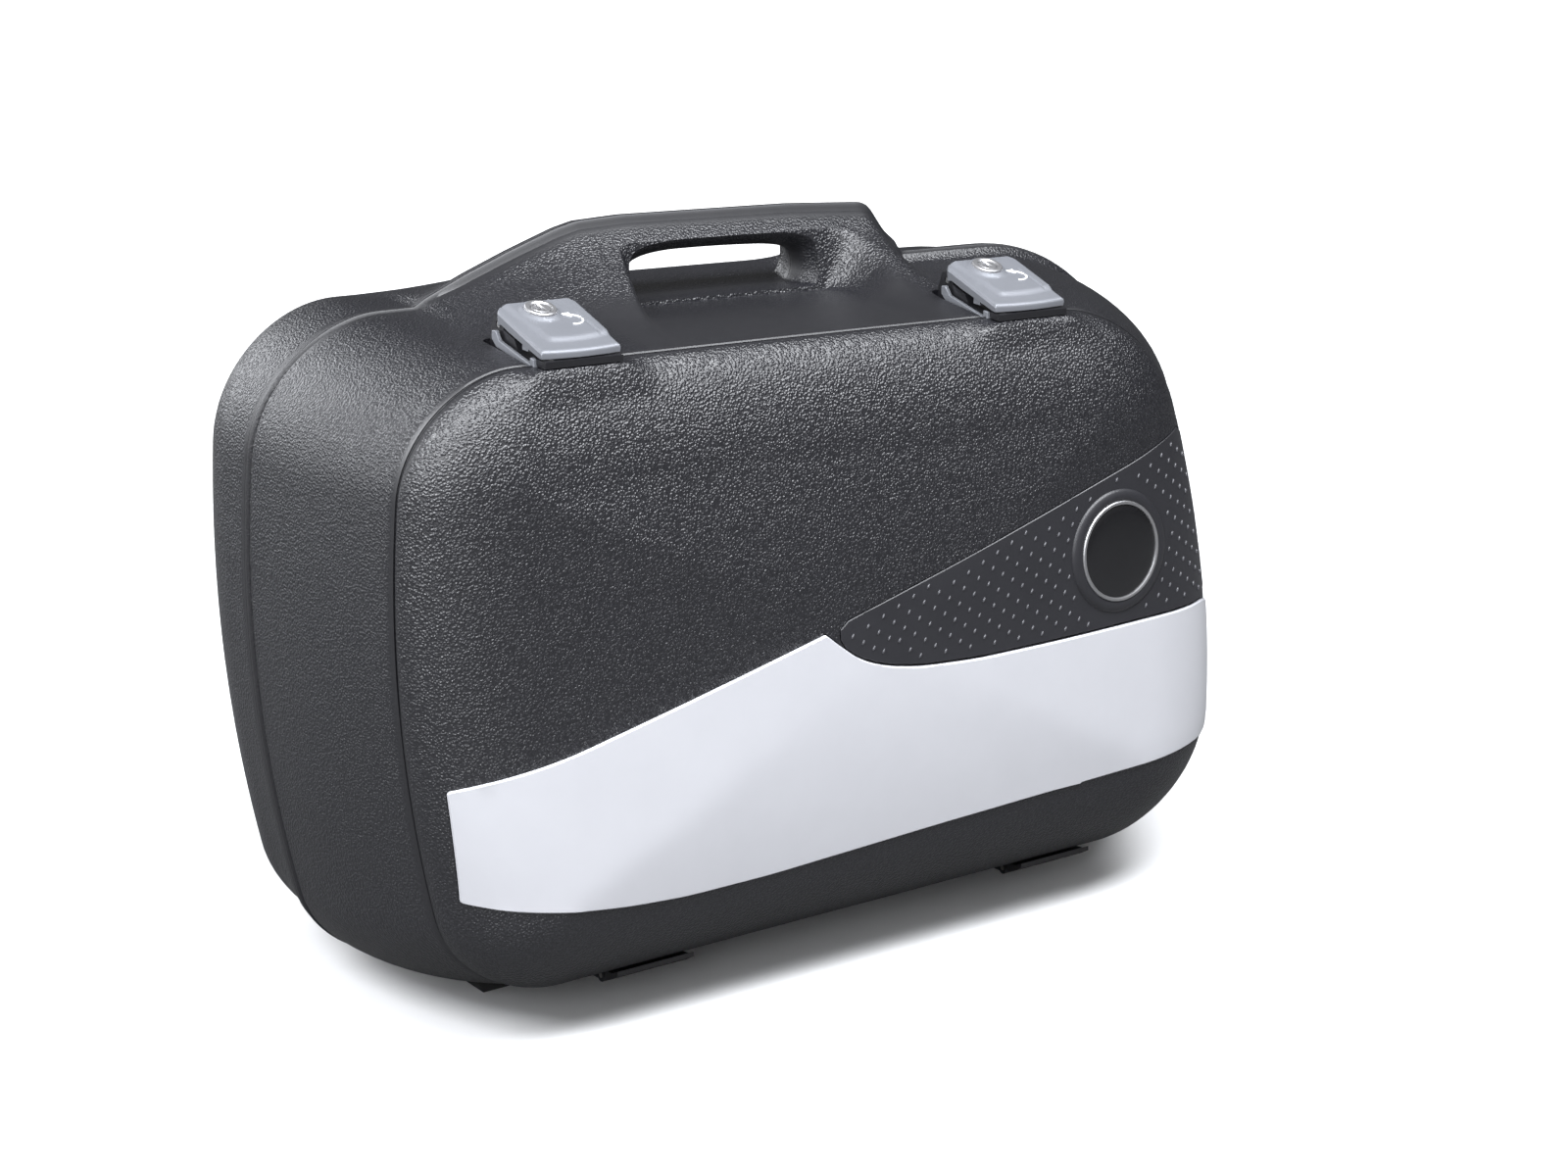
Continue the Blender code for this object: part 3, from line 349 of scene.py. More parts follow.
def soften(obj, width, segments=2, angle=40.0):
    step = obj.modifiers.new("edges", "BEVEL")
    step.width = width * MM
    step.segments = segments
    step.limit_method = "ANGLE"
    step.angle_limit = math.radians(angle)
    step.harden_normals = True
    step.use_clamp_overlap = True


def block(low, high):
    bm = bmesh.new()
    bmesh.ops.create_cube(bm, size=1.0)
    size = (Vector(high) - Vector(low)) * MM
    bmesh.ops.scale(bm, vec=size, verts=bm.verts)
    bmesh.ops.translate(bm, vec=Vector(low) * MM + size / 2, verts=bm.verts)
    return bm


def round_block(low, high, radius):
    """A block with its upright edges rounded."""
    (x0, y0, z0), (x1, y1, z1) = low, high
    corners = ((x0, y0, 180), (x1, y0, 270), (x1, y1, 0), (x0, y1, 90))
    points = []
    for x, y, start in corners:
        centre_x = x + math.copysign(radius, (x0 + x1) / 2 - x)
        centre_y = y + math.copysign(radius, (y0 + y1) / 2 - y)
        for step in range(7):
            a = math.radians(start + 15 * step)
            points.append((centre_x + radius * math.cos(a), centre_y + radius * math.sin(a)))
    return loft([[(x, y, z) for x, y in points] for z in (z0, z1)])


def prism(points, low_y, high_y, draft=0.0):
    """A solid with an (x, z) outline between two depths. Its far end is smaller by the draft."""
    points = np.array(points, float)
    middle = points.mean(axis=0)
    reach = np.abs(points - middle).max(axis=0)
    near = middle + (points - middle) * (1 - draft / reach)
    return loft([at_depth(near, low_y), at_depth(points, high_y)])


def turned(profile, sides=64):
    """A solid turned about Z from a closed profile of (radius, z) in mm."""
    angles = np.linspace(0, 2 * math.pi, sides, endpoint=False)
    rings = [
        [(r * math.cos(a), r * math.sin(a), z) for a in angles] for r, z in profile if r > 0
    ]
    return loft(rings, closed=profile[0][0] > 0)


# Materials ----------------------------------------------------------------------------------


class Graph:
    """A short way to add shader nodes to one material."""

    def __init__(self, name):
        self.material = bpy.data.materials.new(name)
        self.material.use_nodes = True
        self.nodes = self.material.node_tree.nodes
        self.shader = self.nodes["Principled BSDF"]
        self.place = self.add("ShaderNodeTexCoord").outputs["Object"]

    def add(self, kind, inputs=None, **settings):
        node = self.nodes.new(kind)
        for key, value in settings.items():
            setattr(node, key, value)
        for key, value in (inputs or {}).items():
            if isinstance(value, bpy.types.NodeSocket):
                self.material.node_tree.links.new(value, node.inputs[key])
            else:
                node.inputs[key].default_value = value
        return node

    def link(self, output, target):
        self.material.node_tree.links.new(output, target)

    def math(self, operation, a, b=0.0, clamp=False):
        return self.add(
            "ShaderNodeMath", {0: a, 1: b}, operation=operation, use_clamp=clamp
        ).outputs[0]

    def noise(self, scale, detail=3.0, rough=0.6, vector=None):
        inputs = {"Vector": vector or self.place, "Scale": scale, "Detail": detail}
        inputs["Roughness"] = rough
        return self.add("ShaderNodeTexNoise", inputs).outputs["Fac"]

    def spread(self, value, low, high):
        return self.add("ShaderNodeMapRange", {0: value, 3: low, 4: high}).outputs[0]

    def tint(self, value, first, second):
        inputs = {0: value, 6: (*first, 1), 7: (*second, 1)}
        return self.add("ShaderNodeMix", inputs, data_type="RGBA").outputs[2]

    def bump(self, height, distance, strength=1.0, normal=None):
        inputs = {"Height": height, "Distance": distance, "Strength": strength}
        if normal is not None:
            inputs["Normal"] = normal
        return self.add("ShaderNodeBump", inputs).outputs["Normal"]


def plain(name, first, second, rough, metallic=0.0, fine=900.0, depth=0.00002, coat=0.0):
    """A moulded, cast or painted surface: slight colour change, uneven gloss and a fine texture."""
    g = Graph(name)
    broad = g.noise(38.0)
    g.link(g.tint(broad, first, second), g.shader.inputs["Base Color"])
    scuffs = g.noise(240.0, 5.0, 0.7)
    gloss = g.math("ADD", g.spread(broad, -0.04, 0.04), g.spread(scuffs, rough - 0.06, rough + 0.06))
    g.link(gloss, g.shader.inputs["Roughness"])
    g.shader.inputs["Metallic"].default_value = metallic
    g.shader.inputs["Coat Weight"].default_value = coat
    g.shader.inputs["Coat Roughness"].default_value = 0.12
    g.link(g.bump(g.noise(fine, 2.0), depth), g.shader.inputs["Normal"])
    return g.material


def grained():
    """Black moulded plastic with a pebbled leather grain and painted glints, which fade where the mould is
    smooth.
    """
    g = Graph("grained_black_plastic")
    mask = g.add("ShaderNodeAttribute", attribute_name="grain").outputs["Fac"]
    warp = g.add("ShaderNodeTexNoise", {"Vector": g.place, "Scale": 420.0, "Detail": 2.0})
    shifted = g.add(
        "ShaderNodeVectorMath",
        {0: warp.outputs["Color"], 1: (0.0011, 0.0011, 0.0011)},
        operation="MULTIPLY",
    ).outputs[0]
    place = g.add("ShaderNodeVectorMath", {0: g.place, 1: shifted}, operation="ADD").outputs[0]
    cells = g.add(
        "ShaderNodeTexVoronoi",
        {"Vector": place, "Scale": 760.0, "Smoothness": 0.4},
        feature="SMOOTH_F1",
    ).outputs["Distance"]
    pebbles = g.math("SUBTRACT", 1.0, g.math("MULTIPLY", cells, 1.5, clamp=True))
    pebbles = g.math("ADD", pebbles, g.math("MULTIPLY", g.noise(1500.0, 2.0), 0.35))
    height = g.math("MULTIPLY", pebbles, mask)
    broad = g.noise(30.0)
    worn = g.noise(160.0, 5.0, 0.7)
    colour = g.tint(broad, (0.0045, 0.0046, 0.0065), (0.0070, 0.0071, 0.0095))
    # Painted glints: the pebble tops are coloured lighter, towards the pale grey below, only where the
    # grain shows.
    light = g.math("MULTIPLY", g.spread(pebbles, 0.0, 0.15), mask)
    inputs = {0: light, 6: colour, 7: (0.060, 0.060, 0.072, 1)}
    colour_with_painted_glints = g.add("ShaderNodeMix", inputs, data_type="RGBA").outputs[2]
    g.link(colour_with_painted_glints, g.shader.inputs["Base Color"])
    rough = g.math("SUBTRACT", g.spread(worn, 0.42, 0.52), g.math("MULTIPLY", mask, 0.13))
    g.link(rough, g.shader.inputs["Roughness"])
    g.shader.inputs["Specular IOR Level"].default_value = 0.8
    fine = g.bump(g.noise(2600.0, 2.0), 0.00001)
    g.link(g.bump(height, 0.00042, 1.0, fine), g.shader.inputs["Normal"])
    return g.material


def webbing():
    """Woven strap: ribs across, with the slight shine of the yarn."""
    g = Graph("woven_webbing")
    waves = []
    for direction, scale in (("Z", 620.0), ("X", 340.0)):
        inputs = {"Vector": g.place, "Scale": scale, "Distortion": 0.4}
        wave = g.add("ShaderNodeTexWave", inputs, bands_direction=direction)
        waves.append(wave.outputs["Fac"])
    height = g.math("ADD", waves[0], g.math("MULTIPLY", waves[1], 0.6))
    g.link(g.tint(waves[0], (0.012, 0.012, 0.013), (0.045, 0.045, 0.05)), g.shader.inputs["Base Color"])
    g.shader.inputs["Roughness"].default_value = 0.78
    g.shader.inputs["Sheen Weight"].default_value = 0.3
    g.link(g.bump(height, 0.0002, 0.8), g.shader.inputs["Normal"])
    return g.material


GRAINED = grained()
SMOOTH = plain("smooth_black_plastic", (0.009, 0.009, 0.0105), (0.013, 0.013, 0.015), 0.32)
PANEL = plain("panel_black_plastic", (0.017, 0.017, 0.020), (0.022, 0.022, 0.0255), 0.38)
DARK_STEEL = plain("blackened_steel", (0.07, 0.07, 0.073), (0.11, 0.11, 0.115), 0.34, 0.9)
# Painted highlight: the studs are black plastic, coloured lighter grey than the panel to stand in for the
# bright dots that light puts on them.
STUD_PAINTED_HIGHLIGHT = plain("stud_plastic_painted_highlight", (0.055, 0.055, 0.062), (0.075, 0.075, 0.083), 0.27)
GLOSS = plain("gloss_black", (0.006, 0.006, 0.007), (0.009, 0.009, 0.010), 0.18, coat=0.3)
SILVER = plain(
    "silver_paint", (0.585, 0.59, 0.622), (0.625, 0.63, 0.662), 0.36, 0.25, 2600.0, 0.000012, 0.35
)
LOCK = plain(
    "lock_metal", (0.165, 0.172, 0.19), (0.19, 0.197, 0.216), 0.46, 0.35, 2400.0, 0.000006, 0.0
)
CHROME = plain("bright_metal", (0.42, 0.42, 0.43), (0.46, 0.46, 0.47), 0.40, 0.9, 4200.0, 0.0)
STEEL = plain("zinc_steel", (0.48, 0.48, 0.47), (0.58, 0.58, 0.57), 0.33, 1.0)
PAINTED = plain("painted_steel", (0.012, 0.012, 0.013), (0.020, 0.020, 0.021), 0.42)
RUBBER = plain("black_rubber", (0.016, 0.016, 0.016), (0.024, 0.024, 0.024), 0.78, fine=600.0)
PRINT = plain("white_print", (0.80, 0.80, 0.80), (0.86, 0.86, 0.86), 0.5)
WEBBING = webbing()


# Shells -------------------------------------------------------------------------------------


def set_grain(obj, value):
    """Stores how strong the grain is at each vertex. value takes (x, y, z) arrays in mm."""
    count = len(obj.data.vertices)
    co = np.empty(count * 3, np.float32)
    obj.data.vertices.foreach_get("co", co)
    co = (co.reshape(-1, 3) - np.array(ORIGIN)) / MM
    field = obj.data.attributes.new("grain", "FLOAT", "POINT")
    field.data.foreach_set("value", value(co[:, 0], co[:, 1], co[:, 2]).astype(np.float32))


def centre_shape(y):
    share = (BACK_SEAM_Y - y) / (BACK_SEAM_Y - LID_SEAM_Y)
    return mixed(BACK_SEAM, LID_SEAM, share**2)


def centre_ring(y, inset=0.0):
    return at_depth(raised(outline(centre_shape(y), inset), y, FLARE_END, inset), y)


def lock_matrix(side):
    x, z = LOCKS[side]
    return Matrix.Translation((x * MM, 0, z * MM)) @ Matrix.Rotation(TOP_SLOPE, 4, "Y")


def centre_grain(x, y, z):
    """Smooth along both seams, and on the ramp between the locks."""
    band = 1.5 + 5.5 * smoothstep(318, 334, z)
    seams = smoothstep(0, 5, BACK_SEAM_Y - y - band) * smoothstep(1.5, 5, y - LID_SEAM_Y)
    ramp = (z > 300) * smoothstep(-118, -100, x) * (1 - smoothstep(74, 92, x))
    ramp = ramp * (1 - smoothstep(-16, 14, y))
    return seams * (1 - ramp)


def make_centre():
    seam = BACK_SEAM_Y - GAP / 2
    rim = [(0, 0.6), (0.6, -0.3), (1.6, -0.7), (2.6, -0.5), (3.1, 0.3), (3.5, 1.6), (4.7, 1.6), (5.3, 0.2)]
    outer = [centre_ring(seam - depth, inset) for depth, inset in rim]
    steps = [6.0, 8.0, 10.0, 12.0, 14.0, 15.2, 16.2, 17.2, 18.2, 19.2, 20.2, 21.5, 23.5, 26.0]
    steps += list(np.arange(29.0, 116.0, 3.0))
    outer += [centre_ring(BACK_SEAM_Y - d) for d in steps]
    outer += [centre_ring(LID_SEAM_Y + 0.7), centre_ring(LID_SEAM_Y, 0.6)]
    tongue_y = LID_SEAM_Y - TONGUE_LENGTH
    inner = TONGUE_INSET + TONGUE_WALL
    rings = outer + [
        at_depth(outline(LID_SEAM, TONGUE_INSET), LID_SEAM_Y),
        at_depth(outline(LID_SEAM, TONGUE_INSET), tongue_y + 0.6),
        at_depth(outline(LID_SEAM, TONGUE_INSET + 0.6), tongue_y),
        at_depth(outline(LID_SEAM, inner), tongue_y),
        at_depth(outline(LID_SEAM, inner), LID_SEAM_Y + 12),
    ]
    for y in (-40, -20, 0, 20, 40, seam):
        rings.append(at_depth(outline(centre_shape(y), CENTRE_WALL), y))
    made = add_mesh("centre_shell_fine", loft(rings, closed=True))
    cut(made, add_mesh("opening", opening_cutter()))
    for side in LOCKS:
        seat = round_block((-24, -90, 0), (24, -21, 40), 4)
        cut(made, add_mesh("seat", seat, lock_matrix(side)))
    made.data.set_sharp_from_angle(angle=math.radians(34))
    set_grain(made, centre_grain)
    finish_piece(made, "case", GRAINED, ["centre_shell"])


def back_shape(angle):
    return mixed(BACK_BELT, BACK_RIM, 1 - math.cos(angle))


def back_depth(angle, wall=0.0):
    return BACK_BELT_Y + (BACK_Y - BACK_BELT_Y - wall) * math.sin(angle)


def back_ring(shape, y, inset=0.0):
    return at_depth(raised(outline(shape, inset), y, REAR_FLARE_END, inset), y)


def back_grain(x, y, z):
    return smoothstep(1.5, 6, y - BACK_SEAM_Y) * (1 - smoothstep(-8, -3, y - BACK_Y))


def make_back_wall():
    seam = BACK_SEAM_Y + GAP / 2
    rings = [
        back_ring(BACK_SEAM, seam, 0.4),
        back_ring(BACK_SEAM, seam + 0.5),
        back_ring(BACK_SEAM, seam + 2.5),
    ]
    for d in (5.0, 8.0, 11.0, 14.0, 15.5, 16.5, 17.5, 18.5, 19.5):
        y = BACK_SEAM_Y + d
        rings.append(back_ring(mixed(BACK_SEAM, BACK_BELT, d / 20.1), y))
    for a in np.radians(np.linspace(0, 80, 26)):
        rings.append(back_ring(back_shape(a), back_depth(a)))
    rings += [
        at_depth(outline(BACK_RIM, 0.5), BACK_Y - 0.5),
        at_depth(outline(BACK_RIM, 1.6), BACK_Y),
        at_depth(outline(BACK_RIM, 5.0), BACK_Y),
        at_depth(outline(BACK_RIM, 6.2), BACK_Y - 0.9),
        at_depth(outline(BACK_RIM, 7.4), BACK_Y - 6),
        at_depth(outline(BACK_RIM, 8.6), BACK_Y - 14),
        at_depth(outline(BACK_RIM, 9.5), BACK_Y - 18),
        at_depth(outline(BACK_RIM, 5.5), BACK_Y - 18),
    ]
    for a in np.radians(np.linspace(55, 0, 6)):
        rings.append(at_depth(outline(back_shape(a), CENTRE_WALL), back_depth(a, 8.0)))
    rings.append(at_depth(outline(BACK_SEAM, CENTRE_WALL), seam))
    made = add_mesh("back_shell_wall", loft(rings, closed=True))
    cut(made, add_mesh("opening", opening_cutter()))
    made.data.set_sharp_from_angle(angle=math.radians(34))
    set_grain(made, back_grain)
    finish_piece(made, "case", GRAINED, ["back_shell"])


# Recess in the back: a floor with a well, a raised block and moulded pockets.
FLOOR_Y = BACK_Y - 12
WELL = [(-128, 250), (-104, 52), (90, 52), (112, 236)]
WELL_DEPTH = 38
BLOCK = [(-94, 60), (-80, 45), (66, 45), (80, 60), (80, 120), (70, 131), (-84, 131), (-94, 120)]
POCKETS = [
    ((-208, 168), (-197, 248), 7, 3),
    ((-189, 168), (-170, 246), 7, 8),
    ((-207, 72), (-199, 146), 7, 7),
    ((-110, 294), (-45, 302), 5, 0),
    ((-108, 262), (-45, 288), 9, 0),
    ((25, 286), (90, 294), 5, 0),
    ((25, 254), (88, 280), 9, 0),
    ((178, 168), (189, 240), 7, -3),
    ((184, 72), (192, 146), 7, -7),
]


def pocket_outline(low, high, lean, margin=0.0):
    return [
        (low[0] - margin + lean, low[1] - margin),
        (high[0] + margin + lean, low[1] - margin),
        (high[0] + margin, high[1] + margin),
        (low[0] - margin, high[1] + margin),
    ]


def make_back_floor():
    rings = [at_depth(outline(BACK_RIM, 8.2), y) for y in (FLOOR_Y, FLOOR_Y - 4)]
    made = add_mesh("back_shell_floor", loft(rings))
    well_y = BACK_Y - WELL_DEPTH
    middle = np.mean(WELL, axis=0)
    wide = [np.array(p) + (np.array(p) - middle) / np.linalg.norm(np.array(p) - middle) * 6 for p in WELL]
    cut(made, add_mesh("wall", prism(wide, well_y - 4, FLOOR_Y - 2)), "UNION")
    for low, high, depth, lean in POCKETS:
        wall = prism(pocket_outline(low, high, lean, 4), FLOOR_Y - depth - 4, FLOOR_Y - 2)
        cut(made, add_mesh("wall", wall), "UNION")
    beyond = BACK_Y + 4
    cut(made, add_mesh("well", prism(WELL, well_y, beyond, 5)))
    for low, high, depth, lean in POCKETS:
        pocket = prism(pocket_outline(low, high, lean), FLOOR_Y - depth, beyond, 1.2)
        cut(made, add_mesh("pocket", pocket))
    lump = prism(BLOCK, well_y - 2, BACK_Y - 20)
    cut(made, add_mesh("block", lump), "UNION")
    soften(made, 1.1, 3, 30)
    finish_piece(made, "case", SMOOTH, ["back_shell"])


def lid_ring(angle, wall=0.0, inset=0.0):
    flat = outline(LID_SEAM, LID_ROUND * (1 - math.cos(angle)) + wall * math.cos(angle) + inset)
    depth = LID_DEPTH - LID_TILT * flat[:, 1] / LID_TOP_Z
    return at_depth(flat, LID_SEAM_Y - (depth - wall) * math.sin(angle))


def crown_ring(scale, wall=0.0):
    bend = math.radians(LID_BEND)
    flat = outline(LID_SEAM, LID_ROUND * (1 - math.cos(bend)))
    x, z = flat[:, 0] * scale, (flat[:, 1] - BOW_CENTRE_Z) * scale + BOW_CENTRE_Z
    depth = (LID_DEPTH - LID_TILT * z / LID_TOP_Z) * math.sin(bend) + LID_CROWN * (1 - scale**2)
    return at_depth(np.column_stack((x, z)), LID_SEAM_Y - depth + wall)


def lid_rings(wall, angles, scales):
    rings = [lid_ring(math.radians(a), wall) for a in angles]
    return rings + [crown_ring(s, wall) for s in scales]


def padded(points):
    """Raises the lid's face into a pad under each catch."""
    points = points.copy()
    x, y, z = points.T
    for centre, seat in LOCKS.values():
        over = z - (seat - (x - centre) * math.tan(TOP_SLOPE))
        target = np.interp(y, [-90, -86, -84, -82, -80.5, -79, -66], [-60, -22, -13, -5.5, -0.5, 2.5, 2.5])
        window = 1 - smoothstep(20.5, 42, abs(x - centre))
        rise = np.where(z > 300, np.maximum(0, target - over), 0)
        z = z + window * rise
    points[:, 2] = z
    return points


def lid_bm(inner=True):
    seam = LID_SEAM_Y - SEAM_GAP
    angles = np.linspace(4, LID_BEND, 28)
    scales = (0.98, 0.95, 0.9, 0.82, 0.72, 0.6, 0.48, 0.36, 0.24, 0.12, 0.03)
    outer = [at_depth(outline(LID_SEAM, 0.6), seam), at_depth(outline(LID_SEAM), seam - 0.7)]
    outer += lid_rings(0.0, angles, scales)
    outer = [padded(ring) for ring in outer]
    if not inner:
        return loft(outer, cap=False)
    inside = [at_depth(outline(LID_SEAM, LID_WALL), seam)]
    inside += lid_rings(LID_WALL, np.linspace(14, LID_BEND, 8), (0.9, 0.7, 0.4, 0.03))
    return loft(outer[::-1] + inside)


def grown(points, amount):
    """The outline moved outwards by an amount, for points in counter-clockwise order."""
    points = np.array(points, float)
    before = points - np.roll(points, 1, axis=0)
    after = np.roll(points, -1, axis=0) - points
    before /= np.linalg.norm(before, axis=1)[:, None]
    after /= np.linalg.norm(after, axis=1)[:, None]
    first = np.column_stack((before[:, 1], -before[:, 0]))
    second = np.column_stack((after[:, 1], -after[:, 0]))
    middle = first + second
    middle /= np.linalg.norm(middle, axis=1)[:, None]
    reach = np.maximum(0.6, (middle * first).sum(axis=1))
    return points + middle * (amount / reach)[:, None]


def rounded(points, times=2):
    """Cuts the corners of an outline, so that its curves are even."""
    points = np.array(points, float)
    for _ in range(times):
        following = np.roll(points, -1, axis=0)
        length = np.linalg.norm(following - points, axis=1)[:, None]
        share = np.minimum(0.25, 5.0 / length)
        pair = (points + (following - points) * share, following + (points - following) * share)
        points = np.stack(pair, axis=1).reshape(-1, 2)
    return points


def trim_outline():
    return rounded(TRIM_BOTTOM + TRIM_TOP)


def panel_outline():
    edge = [(x, z + PANEL_GAP) for x, z in TRIM_TOP if PANEL_TOP[-1][0] <= x <= PANEL_TOP[0][0]]
    right = (TRIM_TOP[0][0] - 2, TRIM_TOP[0][1] + PANEL_GAP)
    return rounded(edge[::-1] + [right] + PANEL_TOP, 1)


def face_spot(face, x, z):
    """The point of the lid's face behind (x, z) in mm, and the direction out of the face."""
    spot, normal, _, _ = face.ray_cast(Vector((x * MM, -1, z * MM)), Vector((0, 1, 0)))
    if spot is None:
        spot, normal, _, _ = face.find_nearest(Vector((x, LID_SEAM_Y - 20, z)) * MM)
    return spot, normal if normal.y < 0 else -normal


def sheet(points, low, high, face, cell=9.0, edge=0.0):
    """A plate that follows the lid between two offsets, in mm, with a rounded rim."""
    flat = bmesh.new()
    flat.faces.new([flat.verts.new((x, 0, z)) for x, z in points])
    low_corner, high_corner = np.min(points, axis=0), np.max(points, axis=0)
    for k, direction in enumerate((Vector((1, 0, 0)), Vector((0, 0, 1)))):
        count = int((high_corner[k] - low_corner[k]) / cell)
        for i in range(1, count + 1):
            share = i / (count + 1)
            place = direction * (low_corner[k] * (1 - share) + high_corner[k] * share)
            geometry = flat.verts[:] + flat.edges[:] + flat.faces[:]
            bmesh.ops.bisect_plane(flat, geom=geometry, plane_co=place, plane_no=direction)
    bmesh.ops.triangulate(flat, faces=[f for f in flat.faces if len(f.verts) > 4])
    rim = [e for e in flat.edges if len(e.link_faces) == 1]
    rim_verts = {v.index for e in rim for v in e.verts}
    flat.verts.index_update()
    rim_verts = {v.index for e in rim for v in e.verts}
    inward = {}
    for e in rim:
        loop = e.link_loops[0]
        a, b = loop.vert, loop.link_loop_next.vert
        along = (b.co - a.co).normalized()
        side = e.link_faces[0].calc_center_median() - a.co
        out = side - along * side.dot(along)
        out.normalize()
        for v in (a, b):
            inward[v.index] = inward.get(v.index, Vector()) + out
    solid = bmesh.new()
    lower, upper, shoulder = [], [], {}
    for vert in flat.verts:
        spot, outward = face_spot(face, vert.co.x, vert.co.z)
        lower.append(solid.verts.new(spot + outward * low * MM))
        if vert.index in rim_verts and edge > 0:
            shoulder[vert.index] = solid.verts.new(spot + outward * (high - edge) * MM)
            step = inward[vert.index].normalized() * edge
            inner_spot, inner_out = face_spot(face, vert.co.x + step.x, vert.co.z + step.z)
            upper.append(solid.verts.new(inner_spot + inner_out * high * MM))
        else:
            upper.append(solid.verts.new(spot + outward * high * MM))
    for polygon in flat.faces:
        corners = [v.index for v in polygon.verts]
        solid.faces.new([upper[i] for i in corners])
        solid.faces.new([lower[i] for i in reversed(corners)])
    for e in rim:
        loop = e.link_loops[0]
        a, b = loop.vert.index, loop.link_loop_next.vert.index
        if edge > 0:
            solid.faces.new((upper[b], upper[a], shoulder[a], shoulder[b]))
            solid.faces.new((shoulder[b], shoulder[a], lower[a], lower[b]))
        else:
            solid.faces.new((upper[b], upper[a], lower[a], lower[b]))
    flat.free()
    bmesh.ops.recalc_face_normals(solid, faces=solid.faces[:])
    return solid


def lid_grain(x, y, z):
    return smoothstep(1.5, 6, LID_SEAM_Y - y)


def make_lid(face):
    made = add_mesh("lid_shell_fine", lid_bm())
    for points in (trim_outline(), panel_outline()):
        cutter = sheet(grown(points, 0.55), -POCKET_SINK, 6, face)
        cut(made, add_mesh("pocket", cutter))
    made.data.set_sharp_from_angle(angle=math.radians(34))
    set_grain(made, lid_grain)
    finish_piece(made, "lid", GRAINED, ["lid_shell"])


def make_trim(face):
    trim = add_mesh("silver_trim_fine", sheet(trim_outline(), 0.2 - POCKET_SINK, 1.3, face, 7, 0.7))
    finish_piece(trim, "lid", SILVER, ["silver_trim"])
    low = 0.2 - POCKET_SINK
    panel = add_mesh("studded_panel_fine", sheet(panel_outline(), low, 0.35, face, 7, 0.35))
    spot, outward = face_spot(face, *BADGE_CENTRE)
    turn = Matrix.Translation(spot) @ outward.to_track_quat("Z", "Y").to_matrix().to_4x4()
    finish_piece(panel, "lid", PANEL, ["studded_panel"])
    make_studs(face, spot)
    radius = BADGE_RADIUS
    collar = [
        (radius + 0.2, -1.2), (radius + 7.0, -1.2), (radius + 6.2, 0.7), (radius + 5.0, 1.5),
        (radius + 3.0, 2.0), (radius + 1.2, 1.9), (radius + 0.4, 1.4),
    ]
    piece = add_mesh("badge_collar", turned(collar, 96), turn)
    finish_piece(piece, "lid", PANEL, ["studded_panel"])
    ring = [
        (radius - 1.5, 0.2), (radius + 0.5, 0.2), (radius + 0.5, 2.0), (radius + 0.1, 2.5),
        (radius - 0.7, 2.6), (radius - 1.3, 2.3), (radius - 1.5, 1.7),
    ]
    piece = add_mesh("badge_ring_fine", turned(ring, 96), turn)
    finish_piece(piece, "lid", CHROME, ["badge_ring"])
    edge = radius - 1.6
    disc = [(0.0, 0.2), (edge, 0.2), (edge, 1.6)]
    disc += [(edge * math.cos(a), 1.6 + 0.9 * math.sin(a)) for a in np.radians((15, 35, 55, 72, 84))]
    piece = add_mesh("badge_disc_fine", turned(disc, 96), turn, 50)
    finish_piece(piece, "lid", GLOSS, ["badge_disc"])


def inside_outline(points, x, z):
    """Whether (x, z) lies inside an outline."""
    found = False
    for (x0, z0), (x1, z1) in zip(points, np.roll(points, -1, axis=0)):
        if (z0 > z) != (z1 > z) and x < x0 + (z - z0) / (z1 - z0) * (x1 - x0):
            found = not found
    return found


def make_studs(face, badge):
    """Small raised ovals in a slanted grid over the panel, clear of its edge and the badge."""
    edge = grown(panel_outline(), -3.2)
    first, second = np.array((9.3, 3.3)), np.array((6.0, -4.1))
    lean = math.radians(60)
    bm = bmesh.new()
    for i in range(-40, 60):
        for j in range(-40, 60):
            x, z = np.array((-60.0, 190.0)) + first * i + second * j
            if not (-60 < x < 225 and 140 < z < 255) or not inside_outline(edge, x, z):
                continue
            if math.hypot(x - BADGE_CENTRE[0], z - BADGE_CENTRE[1]) < BADGE_RADIUS + 9.5:
                continue
            spot, outward = face_spot(face, x, z)
            before = len(bm.verts)
            bmesh.ops.create_icosphere(bm, subdivisions=2, radius=1.0)
            bm.verts.ensure_lookup_table()
            along = Vector((math.cos(lean), 0, math.sin(lean)))
            across = outward.cross(along).normalized()
            along = across.cross(outward).normalized()
            base = spot + outward * 0.25 * MM
            for vert in bm.verts[before:]:
                local = vert.co.copy()
                vert.co = base + (
                    along * local.x * 1.5 + across * local.y * 0.62 + outward * local.z * 0.85
                ) * MM
    piece = add_mesh("panel_studs", bm, None, 60)
    finish_piece(piece, "lid", STUD_PAINTED_HIGHLIGHT, ["studded_panel"])


# Locks --------------------------------------------------------------------------------------

LEVER_TOP = ((-30.0, 24.3), (-75.0, 12.0))
KEY_SPOT = (-3.0, -41.0)
COVER_HALF = 21.5
COVER_REAR = -25.6
COVER_FRONT = -76.4


def cover_line(y):
    """Height of the cover's top face at a depth: a slope, with a short rear fall."""
    (y0, z0), (y1, z1) = LEVER_TOP
    line = z0 + (y - y0) / (y1 - y0) * (z1 - z0)
    return np.where(y > y0, z0 - (y - y0) * 0.5, line)


